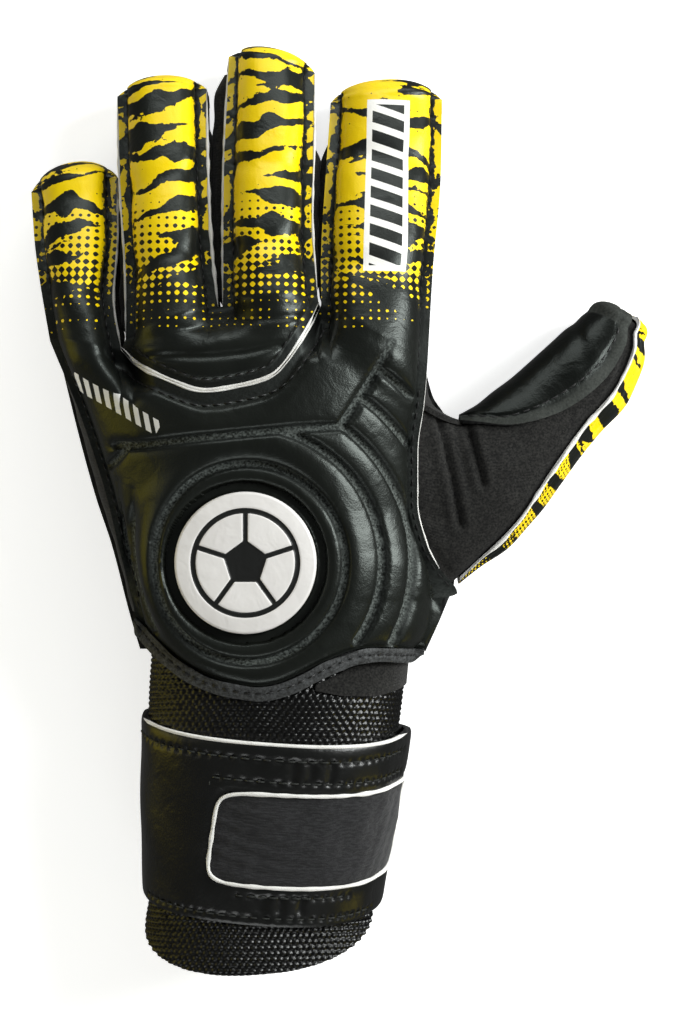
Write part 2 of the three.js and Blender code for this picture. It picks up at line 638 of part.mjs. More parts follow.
// A point of the thumb's rounded section, at an angle that is 0 on its back, a quarter turn
// on top and a half turn on its pad
function thumbPoint(row, angle, inset) {
  const last = THUMB.length - 1;
  const section = THUMB[Math.min(row, last)];
  const turn = Math.max(0, row - last) / TIP_STEPS * Math.PI / 2;
  const across = new THREE.Vector2(section.backX - section.padX, section.backY - section.padY);
  const half = across.length() / 2;
  across.normalize();
  const scale = 1 - THUMB_TIP.shrink * (1 - Math.cos(turn));
  const forward = (THUMB_TIP.reach - inset) * Math.sin(turn);
  const side = (half - inset) * scale * signedPower(Math.cos(angle), 2 / THUMB_POWER);
  const rise = (section.halfZ - inset) * scale * signedPower(Math.sin(angle), 2 / THUMB_POWER);
  return new THREE.Vector3(
    (section.padX + section.backX) / 2 + across.x * side - across.y * forward,
    (section.padY + section.backY) / 2 + across.y * side + across.x * forward,
    section.midZ + rise,
  );
}

// The angle at which a share of the way across the thumb lies, on its upper side
function lipAngle(share) {
  return Math.acos(signedPower(2 * share - 1, THUMB_POWER / 2));
}

function thumbLips(row) {
  const section = THUMB[Math.min(row, THUMB.length - 1)];
  return {
    upperPad: lipAngle(section.padLip),
    upperBack: lipAngle(section.backLip),
    lowerPad: 2 * Math.PI - lipAngle(THUMB_UNDER.padLip),
    lowerBack: -lipAngle(THUMB_UNDER.backLip),
  };
}

function thumbPanel(cells, angles, outerInset, innerInset) {
  const rows = THUMB.length - 1 + TIP_STEPS;
  const angleAt = (column, row) => {
    const [from, to] = angles(thumbLips(row));
    return mix(from, to, column / cells);
  };
  return sheet(
    cells,
    rows,
    () => true,
    (column, row) => thumbPoint(row, angleAt(column, row), outerInset),
    (column, row) => thumbPoint(row, angleAt(column, row), innerInset),
  );
}

function thumbPad() {
  const angles = (lips) => [lips.upperPad + PANEL_GAP_ANGLE, lips.lowerPad - PANEL_GAP_ANGLE];
  return thumbPanel(THUMB_CELLS.pad, angles, 0, THUMB_FOAM);
}

function thumbBack() {
  const angles = (lips) => [lips.lowerBack + PANEL_GAP_ANGLE, lips.upperBack - PANEL_GAP_ANGLE];
  return thumbPanel(THUMB_CELLS.back, angles, 0, THUMB_FOAM);
}

function thumbUnder() {
  const angles = (lips) => [lips.lowerPad, lips.lowerBack + 2 * Math.PI];
  const inner = THUMB_TEXTILE_INSET + TEXTILE;
  return thumbPanel(THUMB_CELLS.under, angles, THUMB_TEXTILE_INSET, inner);
}

// The textile over the thumb, which starts under the thumb-side lip of the back
function thumbWeb() {
  const cells = THUMB_CELLS.web;
  const rootPoint = (column, depth) => {
    const y = mix(WEB_ROOT.fromY, WEB_ROOT.toY, column / cells);
    const x = lookUp(RIGHT_EDGE, 'y', 'x', y) - WEB_ROOT.tuck;
    return new THREE.Vector3(x, y, lookUp(RIGHT_EDGE, 'y', 'z', y) - LIP_THICKNESS - 2 * GAP - depth);
  };
  const webPoint = (column, row, depth) => {
    if (row === 0) return rootPoint(column, depth);
    const lips = thumbLips(row - 1);
    const angle = mix(lips.upperPad, lips.upperBack, column / cells);
    return thumbPoint(row - 1, angle, THUMB_TEXTILE_INSET + depth);
  };
  return sheet(
    cells,
    THUMB.length + TIP_STEPS,
    () => true,
    (column, row) => webPoint(column, row, 0),
    (column, row) => webPoint(column, row, TEXTILE),
  );
}

// A point of the wrist tube at a place along it and an angle round it, 90 degrees on top
function tubePoint(y, degrees, out) {
  const angle = THREE.MathUtils.degToRad(degrees);
  const read = (key) => lookUp(CUFF, 'y', key, y);
  const middle = (read('top') + read('low')) / 2;
  const rise = (read('top') - read('low')) / 2 + out;
  const z = middle + rise * signedPower(Math.sin(angle), 2 / TUBE_POWER);
  return new THREE.Vector3(
    read('centreX') + (read('half') + out) * signedPower(Math.cos(angle), 2 / TUBE_POWER),
    y,
    Math.max(z, read('flat') - out),
  );
}

// A band that closes on itself, from a grid of angles round it and places along it
function ring(sides, rows, outer, inner) {
  const points = [];
  for (const face of [outer, inner]) {
    for (let row = 0; row <= rows; row += 1) {
      for (let side = 0; side < sides; side += 1) points.push(face(side, row));
    }
  }
  const at = (face, side, row) => face * sides * (rows + 1) + row * sides + (side % sides);
  const triangles = [];
  const quad = (a, b, c, d) => triangles.push(a, b, c, a, c, d);
  for (let side = 0; side < sides; side += 1) {
    for (let row = 0; row < rows; row += 1) {
      quad(at(0, side, row), at(0, side + 1, row), at(0, side + 1, row + 1), at(0, side, row + 1));
      quad(at(1, side, row), at(1, side, row + 1), at(1, side + 1, row + 1), at(1, side + 1, row));
    }
    quad(at(0, side, 0), at(1, side, 0), at(1, side + 1, 0), at(0, side + 1, 0));
    quad(at(0, side, rows), at(0, side + 1, rows), at(1, side + 1, rows), at(1, side, rows));
  }
  return solidFrom(points, triangles);
}

function cuff() {
  const degreesAt = (side) => side * 360 / TUBE_SIDES;
  const point = (side, row, out) => {
    const degrees = degreesAt(side);
    const upper = Math.max(0, Math.sin(THREE.MathUtils.degToRad(degrees)));
    if (row < CUFF.length - 1) return tubePoint(CUFF[row].y, degrees, out);
    const flareY = strapPoint(degrees, 1, 0).y - 2 * GAP;
    if (row === CUFF.length - 1) return tubePoint(flareY, degrees, out);
    const mouth = tubePoint(flareY, degrees, out + CUFF_MOUTH.grow);
    mouth.y = CUFF_MOUTH.y + CUFF_MOUTH.slope * (mouth.x - CUFF[CUFF.length - 1].centreX);
    mouth.y += CUFF_MOUTH.topY * upper;
    return mouth;
  };
  return ring(
    TUBE_SIDES,
    CUFF.length,
    (side, row) => point(side, row, 0),
    (side, row) => point(side, row, -KNIT),
  );
}

// The strap's columns go backwards round the wrist: under it, up the outer side, over the top
const STRAP_COLUMNS = TUBE_SIDES + 3;

function strapDegrees(column) {
  return STRAP.start - column * (360 + STRAP.lap) / STRAP_COLUMNS;
}

function strapPoint(degrees, part, out) {
  const edge = tubePoint(mix(STRAP.topY, STRAP.bottomY, part), degrees, out);
  const upper = Math.max(0, Math.sin(THREE.MathUtils.degToRad(degrees)));
  const y = edge.y + STRAP.slope * (edge.x - CUFF[1].centreX) + STRAP.bulge * upper;
  return tubePoint(y, degrees, out);
}

function inWindow(column) {
  const middle = strapDegrees(column + 0.5) + 360;
  return middle < WINDOW.fromAngle && middle > WINDOW.toAngle;
}

function strap() {
  const lift = (column) => {
    const turned = STRAP.start - strapDegrees(column);
    return (STRAP_THICKNESS + GAP) * smooth(360 - STRAP.rise, 360, turned);
  };
  const point = (column, row, out) => strapPoint(strapDegrees(column), STRAP_ROWS[row], out + lift(column));
  return sheet(
    STRAP_COLUMNS,
    STRAP_ROWS.length - 1,
    (column, row) => !(inWindow(column) && row >= WINDOW.firstRow && row <= WINDOW.lastRow),
    (column, row) => point(column, row, STRAP_GAP + STRAP_THICKNESS),
    (column, row) => point(column, row, STRAP_GAP),
  );
}

function strapPatch() {
  const columns = Array.from({ length: STRAP_COLUMNS }, (_, column) => column).filter(inWindow);
  const from = columns[0];
  const length = columns.length;
  const span = STRAP.topY - STRAP.bottomY;
  const margin = PATCH.margin / span;
  const partOf = (row) => {
    if (row === 0) return STRAP_ROWS[WINDOW.firstRow] + margin;
    if (row === 2) return STRAP_ROWS[WINDOW.lastRow + 1] - margin;
    return STRAP_ROWS[WINDOW.lastRow];
  };
  const degreesAt = (column) => {
    const shift = column === 0 ? -1 : Number(column === length);
    return strapDegrees(from + column) + shift * PATCH.marginDegrees;
  };
  const point = (column, row, out) => strapPoint(degreesAt(column), partOf(row), out);
  return sheet(
    length,
    2,
    () => true,
    (column, row) => point(column, row, STRAP_GAP + PATCH.thickness),
    (column, row) => point(column, row, STRAP_GAP),
  );
}

function backHem() {
  const line = curveThrough(HEM_LINE);
  const plan = (column, away) => {
    const part = column / HEM_STEPS;
    const tangent = line.getTangentAt(part);
    return line.getPointAt(part).add(new THREE.Vector3(tangent.y, -tangent.x, 0).multiplyScalar(away));
  };
  const point = (column, row, depth) => {
    const place = plan(column, row ? GAP * 2 : HEM_WIDTH);
    const top = plan(column, 0);
    return new THREE.Vector3(place.x, place.y, backHeight(top.x, top.y) + HEM_RISE - depth);
  };
  return sheet(
    HEM_STEPS,
    1,
    () => true,
    (column, row) => point(column, row, 0),
    (column, row) => point(column, row, HEM_THICKNESS),
  );
}

function wristBand() {
  const point = (column, row, out) => {
    const degrees = mix(BAND.toAngle, BAND.fromAngle, column / BAND.steps);
    return tubePoint(row ? BAND.fromY : BAND.toY, degrees, out);
  };
  return sheet(
    BAND.steps,
    1,
    () => true,
    (column, row) => point(column, row, BAND.lift + BAND.thickness),
    (column, row) => point(column, row, BAND.lift),
  );
}

function emblemDisc() {
  const { radius, thickness, edge, sides } = EMBLEM;
  const profile = [
    [0, 0], [radius - edge, 0], [radius, edge / 2], [radius, thickness - 2 * edge],
    [radius - edge, thickness - edge], [EMBLEM_CROWN.radius, thickness - EMBLEM_CROWN.drop], [0, thickness],
  ];
  const geometry = new THREE.LatheGeometry(profile.map(([r, h]) => new THREE.Vector2(r, h)), sides);
  geometry.rotateX(Math.PI / 2);
  return geometry;
}

const glove = new THREE.Group();

function add(name, geometry, finish) {
  const material = new THREE.MeshStandardMaterial({ ...MATERIALS[finish], metalness: 0 });
  const mesh = new THREE.Mesh(geometry, material);
  mesh.name = name;
  glove.add(mesh);
  return mesh;
}

add('back_panel', backPanel(), 'print');
add('knuckle_panel', knucklePanel(), 'print');
add('palm', palmPanel(), 'latex');
add('gusset_outer', outerWall(), 'textile');
add('gusset_little_ring', crotchWall('little', 'ring'), 'textile');
add('gusset_ring_middle', crotchWall('ring', 'middle'), 'textile');
add('gusset_middle_index', crotchWall('middle', 'index'), 'textile');
add('gusset_index', indexWall(), 'textile');
add('thumb_web', thumbWeb(), 'textile');
add('thumb_pad', thumbPad(), 'latex');
add('thumb_back', thumbBack(), 'print');
add('thumb_under', thumbUnder(), 'textile');
add('emblem_disc', emblemDisc(), 'badge').position.set(EMBLEM.x, EMBLEM.y, EMBLEM_SEAT.z + GAP);
add('back_hem', backHem(), 'grain');
add('wrist_band', wristBand(), 'textile');
add('cuff', cuff(), 'knit');
add('strap', strap(), 'strap');
add('strap_patch', strapPatch(), 'textile');

// The origin is under the middle of the glove, on the surface that it rests on
const box = new THREE.Box3().setFromObject(glove);
const centre = box.getCenter(new THREE.Vector3());
glove.position.set(-centre.x, -centre.y, -box.min.z);

export default glove;
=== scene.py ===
# %% [markdown]
# # A left-hand soccer goalkeeper glove
# The glove lies palm down with its back up, and we look straight down on it. Real gloves of
# this kind are cut from flat sheets of latex foam and textile, pressed, stitched and turned.
# Each piece here is a grid of points worked out from a few measured sections, then given the
# relief that pressing and sewing leave: grooves, padding between them and dents at stitches.
# Sections come first, in millimetres, then the pieces, the sewing, the finishes and the light.

# %% Frame, units and helpers
import math
from functools import partial

import bpy
import numpy as np
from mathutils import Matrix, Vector
from mathutils.bvhtree import BVHTree


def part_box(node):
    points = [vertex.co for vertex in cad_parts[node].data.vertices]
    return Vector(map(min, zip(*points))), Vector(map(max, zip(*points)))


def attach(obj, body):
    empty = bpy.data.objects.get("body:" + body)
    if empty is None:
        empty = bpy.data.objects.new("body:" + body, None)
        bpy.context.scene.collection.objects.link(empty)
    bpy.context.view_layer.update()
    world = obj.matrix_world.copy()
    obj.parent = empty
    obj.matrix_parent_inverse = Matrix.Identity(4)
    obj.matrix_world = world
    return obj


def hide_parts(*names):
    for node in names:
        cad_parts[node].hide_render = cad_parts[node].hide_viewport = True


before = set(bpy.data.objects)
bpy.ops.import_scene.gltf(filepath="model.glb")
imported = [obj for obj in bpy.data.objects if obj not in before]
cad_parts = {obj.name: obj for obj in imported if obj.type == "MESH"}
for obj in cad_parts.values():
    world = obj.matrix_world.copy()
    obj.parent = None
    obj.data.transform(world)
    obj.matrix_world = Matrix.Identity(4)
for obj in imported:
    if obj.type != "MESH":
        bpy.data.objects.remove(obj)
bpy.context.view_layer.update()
MM = 0.001

# The sections below are measured from the middle of the view. The badge's place says how far
# that is from the frame's origin.
BADGE_CENTRE = (-27.0, -15.0)
badge_low, badge_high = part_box("emblem_disc")
SHIFT = np.array([
    (badge_low.x + badge_high.x) / 2 / MM - BADGE_CENTRE[0],
    (badge_low.y + badge_high.y) / 2 / MM - BADGE_CENTRE[1],
    0.0,
])
print("sections are shifted by", SHIFT.round(3), "mm")


def mix(a, b, part):
    return a + (b - a) * part


def smooth(low, high, value):
    """0 at low, 1 at high and a soft S between them. low may be the greater of the two."""
    part = np.clip((value - low) / (high - low), 0, 1)
    return part * part * (3 - 2 * part)


def bell(value, width):
    return np.exp(-((value / width) ** 2))


def signed_power(value, power):
    return np.sign(value) * np.abs(value) ** power


def unit(vectors):
    return vectors / np.maximum(np.linalg.norm(vectors, axis=-1, keepdims=True), 1e-9)


def table(columns, text):
    """A short table with named columns, each an array."""
    rows = np.array([line.split() for line in text.strip().splitlines()], float)
    return dict(zip(columns.split(), rows.T))


# %% [markdown]
# ## Smooth lines through a few measured points
# A measured section has only four to ten rows. Straight lines between them would show as
# facets, so every value between two rows lies on a curve: Catmull-Rom where the rows are
# evenly spaced, and a curve that never overshoots where they aren't.

# %% Curves through tables
def through(values, part):
    """A smooth curve through evenly spaced values, at parts from 0 to 1 of its length."""
    last = len(values) - 1
    ends = np.concatenate([[2 * values[0] - values[1]], values, [2 * values[-1] - values[-2]]])
    scaled = np.clip(np.asarray(part), 0, 1) * last
    index = np.minimum(scaled.astype(int), last - 1)
    t = (scaled - index).reshape(index.shape + (1,) * (values.ndim - 1))
    p0, p1, p2, p3 = (ends[index + step] for step in range(4))
    bend = (2 * p0 - 5 * p1 + 4 * p2 - p3) * t * t + (3 * p1 - p0 - 3 * p2 + p3) * t ** 3
    return (2 * p1 + (p2 - p0) * t + bend) / 2


def look_up(rows, key, place):
    """A column of a table by its y column, on a curve that keeps between its rows."""
    x, y = rows["y"], rows[key]
    step = np.diff(x)
    rise = np.diff(y) / step
    slope = np.zeros(len(x))
    same = rise[1:] * rise[:-1] > 0
    slope[1:-1][same] = 2 * rise[1:][same] * rise[:-1][same] / (rise[1:] + rise[:-1])[same]
    slope[0], slope[-1] = rise[0], rise[-1]
    place = np.clip(place, x[0], x[-1])
    index = np.clip(np.searchsorted(x, place) - 1, 0, len(x) - 2)
    t = (place - x[index]) / step[index]
    start = y[index] * (1 + 2 * t) + slope[index] * step[index] * t
    end = y[index + 1] * (3 - 2 * t) - slope[index + 1] * step[index] * (1 - t)
    return start * (1 - t) ** 2 + end * t * t


def lengths_along(path):
    """How far along a path each of its points is."""
    steps = np.linalg.norm(np.diff(path, axis=0), axis=1)
    return np.concatenate([[0], np.cumsum(steps)])


def length_of(line):
    return np.linalg.norm(np.diff(line, axis=0), axis=1).sum()


def at_places(path, places_known, places):
    """Points of a path between its own points, which are at places known."""
    return np.stack([np.interp(places, places_known, column) for column in path.T], -1)


def line_through(points, steps=160):
    """A smooth plan line through points, as evenly spaced points of its own."""
    fine = through(np.array(points, float), np.linspace(0, 1, 8 * steps))
    gone = lengths_along(fine)
    return at_places(fine, gone, np.linspace(0, gone[-1], steps + 1))


def at_part(line, part):
    """Points at parts from 0 to 1 of an evenly spaced line."""
    return at_places(line, np.arange(len(line)), np.clip(part, 0, 1) * (len(line) - 1))


def line_round_badge(radius, angles):
    """A plan line round the badge."""
    x, y = BADGE_CENTRE
    return np.stack([x + radius * np.cos(angles), y + radius * np.sin(angles)], 1)


def arc(radius, from_degrees, to_degrees):
    return line_round_badge(radius, np.radians(np.linspace(from_degrees, to_degrees, 40)))


def distance_to(line, x, y):
    """Distance in plan from points to a line."""
    best = np.full(np.shape(x), np.inf)
    for (x0, y0), (x1, y1) in zip(line[:-1, :2], line[1:, :2]):
        dx, dy = x1 - x0, y1 - y0
        part = np.clip(((x - x0) * dx + (y - y0) * dy) / max(dx * dx + dy * dy, 1e-9), 0, 1)
        best = np.minimum(best, np.hypot(x - x0 - part * dx, y - y0 - part * dy))
    return best


def nearest_of(lines, x, y):
    return np.minimum.reduce([distance_to(line, x, y) for line in lines])


def ripple(x, y, size, seed):
    """Soft uneven waves between about -1 and 1, the same at every run."""
    random = np.random.default_rng(seed)
    total = np.zeros(np.broadcast(x, y).shape)
    for _ in range(6):
        angle, phase = random.uniform(0, 2 * math.pi, 2)
        pitch = size * random.uniform(0.7, 1.5)
        total += np.sin(2 * math.pi * (x * math.cos(angle) + y * math.sin(angle)) / pitch + phase)
    return total / 4


bent = line_through([(0, 0), (10, 5), (20, 0)])
print("a smooth line through three points is", round(length_of(bent), 1), "mm long,", end=" ")
print("and straight lines through them", round(2 * math.hypot(10, 5), 1), "mm")


# %% [markdown]
# ## From grids of points to walls
# A glove has no solid part: everything is a wall with an outer face, an inner face and a cut
# edge. We make each wall as one closed mesh from two grids of points. The relief is added
# along the outer face's normals, because pressed foam swells at right angles to its surface.

# %% Walls, tubes and pieces
def quads_of(shape, closed):
    """Corner indices of a grid's cells. A closed grid's last column joins its first."""
    index = np.arange(shape[0] * shape[1]).reshape(shape)
    left = index if closed else index[:, :-1]
    right = np.roll(index, -1, 1) if closed else index[:, 1:]
    return np.stack([left[:-1], right[:-1], right[1:], left[1:]], -1)


def normals_of(points, quads):
    a, b, c, d = (points[quads[:, corner]] for corner in range(4))
    normal = np.cross(c - a, d - b)
    total = np.zeros_like(points)
    for corner in range(4):
        np.add.at(total, quads[:, corner], normal)
    return total / np.maximum(np.linalg.norm(total, axis=1, keepdims=True), 1e-12)


def wall(outer, inner, present=None, relief=0.0, closed=False):
    """A closed wall between two grids. Returns its points, its quads and each quad's side:
    0 outer, 1 inner, 2 cut edge. The grid of outer points comes first."""
    grid = quads_of(outer.shape[:2], closed)
    if present is None:
        present = np.ones(grid.shape[:2], bool)
    top = grid[present]
    flat, deep = outer.reshape(-1, 3), inner.reshape(-1, 3)
    normal = normals_of(flat, top)
    flip = np.sum(normal * (flat - deep)) < 0
    lift = np.broadcast_to(relief, outer.shape[:2]).reshape(-1, 1)
    points = np.concatenate([flat + normal * (-lift if flip else lift), deep])
    count = len(flat)
    around = np.pad(present, 1)
    if closed:
        around[:, 0], around[:, -1] = around[:, -2], around[:, 1]
    missing = [~around[:-2, 1:-1], ~around[1:-1, 2:], ~around[2:, 1:-1], ~around[1:-1, :-2]]
    rims = []
    for side, gone in enumerate(missing):
        edge = grid[present & gone]
        start, end = edge[:, side], edge[:, (side + 1) % 4]
        rims.append(np.stack([start, start + count, end + count, end], 1))
    rim = np.concatenate(rims)
    faces = np.concatenate([top, top[:, ::-1] + count, rim])
    side_of = np.repeat([0, 1, 2], [len(top), len(top), len(rim)])
    return points, faces[:, ::-1] if flip else faces, side_of


def fan(first, second, middle):
    """Triangles from edges to a middle point, as quads whose last two corners are the same."""
    middles = np.full(len(first), middle)
    return np.stack([first, second, middles, middles], 1)


def tube(path, width, height, up=(0, 0, 1), sides=8):
    """A closed rounded strip along a path, as wide and high as said."""
    ahead = np.gradient(path, axis=0)
    across = unit(np.cross(ahead, np.broadcast_to(np.array(up, float), path.shape)))
    rise = unit(np.cross(across, ahead))
    angles = 2 * math.pi * np.arange(sides)[:, None] / sides
    wide, high = (np.reshape(size, (-1, 1, 1)) / 2 for size in (width, height))
    ring = (
        path[:, None]
        + across[:, None] * np.cos(angles) * wide
        + rise[:, None] * np.sin(angles) * high
    )
    index = np.arange(len(path) * sides).reshape(-1, sides)
    after = np.roll(index, -1, 1)
    faces = np.stack([index[:-1], index[1:], after[1:], after[:-1]], -1).reshape(-1, 4)
    points = np.concatenate([ring.reshape(-1, 3), path[:1], path[-1:]])
    start, end = fan(index[0], after[0], index.size), fan(after[-1], index[-1], index.size + 1)
    return points, np.concatenate([faces, start, end])


def joined(shapes):
    """Several (points, faces) as one."""
    points, faces, count = [], [], 0
    for some_points, some_faces in shapes:
        points.append(some_points)
        faces.append(some_faces + count)
        count += len(some_points)
    return np.concatenate(points), np.concatenate(faces)


def make_piece(
    name, points, faces, materials, side_of=None, marks=None, crease=50, cad_node=None, slot=None,
):
    """A mesh piece from points in millimetres. marks are values that its finish reads."""
    used, index = np.unique(faces, return_inverse=True)
    quads = index.reshape(faces.shape)
    mesh = bpy.data.meshes.new(name)
    polygons = [(a, b, c) if c == d else (a, b, c, d) for a, b, c, d in quads.tolist()]
    mesh.from_pydata(((points[used] + SHIFT) * MM).tolist(), [], polygons)
    for material in materials:
        mesh.materials.append(material)
    if side_of is not None:
        mesh.polygons.foreach_set("material_index", np.minimum(side_of, len(materials) - 1))
    for mark, values in (marks or {}).items():
        full = np.zeros(len(points), np.float32)
        full[: values.size] = values.ravel()
        mesh.attributes.new(mark, "FLOAT", "POINT").data.foreach_set("value", full[used])
    mesh.shade_smooth()
    mesh.set_sharp_from_angle(angle=math.radians(crease))
    piece = bpy.data.objects.new(name, mesh)
    bpy.context.scene.collection.objects.link(piece)
    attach(piece, "root")
    if cad_node:
        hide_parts(cad_node)
    print(f"{name}: {len(polygons)} faces")
    return piece


def make_wall(name, grids, materials, relief=0.0, marks=None, present=None, **where):
    """A wall between two grids as a piece, and the grid of its outer skin with the relief."""
    outer, inner = grids
    points, faces, side_of = wall(outer, inner, present, relief)
    piece = make_piece(name, points, faces, materials, side_of, marks, **where)
    return piece, points[:outer[..., 0].size].reshape(outer.shape)


def make_foam(name, grids, materials, relief, marks, present=None, **where):
    """A padded wall of foam. Returns the grid of its outer skin."""
    piece, skin = make_wall(name, grids, materials, relief, marks, present, **where)
    return skin


_, thread_faces = tube(np.linspace((0, 0, 0), (3, 0, 0), 5), 0.5, 0.5, sides=6)
print("one short thread has", len(thread_faces), "faces")


# %% [markdown]
# ## The finishes
# Printed latex foam is a 4 mm foam with a smooth rubber skin. The skin takes ink well and is
# pressed in a hot mould, which leaves it satin and slightly leathery. The finishes start
# from plain values for each material: rubber has an IOR near 1.52 and a roughness about 0.45,
# textile is rough and has no clear highlight, and a coated strap is smoother than both.
# Colours are picked as sRGB hex values and turned linear by one function.

# %% Colours and one node helper
def linear(hex_colour):
    """An sRGB hex colour as the linear colour that a shader socket takes."""
    srgb = np.array([int(hex_colour[i:i + 2], 16) for i in (1, 3, 5)]) / 255
    value = np.where(srgb <= 0.04045, srgb / 12.92, ((srgb + 0.055) / 1.055) ** 2.4)
    return (*value.tolist(), 1.0)


print("the middle grey #808080 is", round(linear("#808080")[0], 3), "of white in linear light")


def node(material, kind, inputs=(), **settings):
    """Adds a node with its settings. inputs are in order or by name, each a plain value, a hex
    colour, an output, or a node, whose first output is taken."""
    made = material.node_tree.nodes.new("ShaderNode" + kind)
    for key, value in settings.items():
        setattr(made, key, value)
    named = inputs if isinstance(inputs, dict) else dict(enumerate(inputs))
    for key, value in named.items():
        if isinstance(value, bpy.types.Node):
            value = value.outputs[0]
        if isinstance(value, bpy.types.NodeSocket):
            material.node_tree.links.new(value, made.inputs[key])
        else:
            made.inputs[key].default_value = linear(value) if isinstance(value, str) else value
    return made


def start_material(name, colour, roughness, ior, **sockets):
    """A material with the plain values set on its shader, its way to add nodes, and its place."""
    material = bpy.data.materials.new(name)
    material.use_nodes = True
    shader = material.node_tree.nodes["Principled BSDF"]
    sockets.update({"Base Color": linear(colour), "Roughness": roughness, "IOR": ior})
    for key, value in sockets.items():
        shader.inputs[key.replace("_", " ")].default_value = value
    add = partial(node, material)
    return material, add, add("TexCoord").outputs["Object"]


def connect(material, **links):
    """Links nodes to the shader's inputs."""
    shader = material.node_tree.nodes["Principled BSDF"]
    for key, value in links.items():
        material.node_tree.links.new(value.outputs[0], shader.inputs[key.replace("_", " ")])
    return material


# Carbon-black rubber shines very slightly green
GREEN_CAST = linear("#F5FFF9")
# The slight crumple of worn foam: its size and depth in mm
CRUMPLE = {"size": 7.0, "depth": 0.30}


def pressed_grain(add, place, grain_mm, depth_mm):
    """The pebbled relief that a hot mould leaves in a rubber skin, on the crumple of worn foam,
    as a normal."""
    cells = add("TexVoronoi", {"Vector": place, "Scale": 1000 / grain_mm})
    folds = add("TexNoise", {
        "Vector": place, "Scale": 250 / grain_mm, "Detail": 4.0, "Roughness": 0.6,
    })
    height = add("Math", (cells, folds), operation="ADD")
    worn = add("TexNoise", {
        "Vector": place, "Scale": 1000 / CRUMPLE["size"], "Detail": 2.0, "Distortion": 0.6,
    })
    crumpled = add("Bump", {"Height": worn, "Distance": CRUMPLE["depth"] * MM})
    return add("Bump", {"Height": height, "Distance": depth_mm * MM, "Normal": crumpled})


# %% [markdown]
# The back is one foam sheet, black in the mass, with yellow ink screened on the fingers. The
# ink's edges come from a distance that each point of the mesh carries, so they stay sharp at
# any resolution. Lower down the ink breaks into a halftone: a square lattice of dots, 2.5 mm
# apart, that grow or shrink with the tone at that place. In the pressed grooves the skin is
# crushed and rubbed, so it's paler, rougher and grainy there. Where the groove mark is near
# one half, on the grooves' sides, the flanges and the crotches, painted shade darkens the skin.

# %% Printed latex foam
DOT_PITCH = 2.5
BAND = {
    "x": 15.2, "y": 100, "lean": 0.03, "half_width": 6.6, "half_length": 27.5, "border": 1.7,
    "pitch": 6.1, "black": 0.62, "slant": 0.35,
}
ROW = {
    "x": -65.8, "y": 32.8, "turn": -31, "half_width": 2.1, "half_length": 15.8,
    "pitch": 3.6, "white": 0.55, "slant": 0.9,
}


def within(add, across, along, half_width, half_length):
    """1 inside a rectangle, 0 outside it."""
    sides = [
        add("Math", (add("Math", (value,), operation="ABSOLUTE"), half), operation="LESS_THAN")
        for value, half in ((across, half_width), (along, half_length))
    ]
    return add("Math", tuple(sides), operation="MULTIPLY")


def slanted_bars(add, across, along, slant, pitch, share):
    """1 on identical slanted bars, 0 between them."""
    leaning = add("Math", (across, slant, along), operation="MULTIPLY_ADD")
    turns = add("Math", (leaning, 1 / pitch), operation="MULTIPLY")
    part = add("Math", (turns,), operation="FRACT")
    return add("Math", (part, share), operation="LESS_THAN")


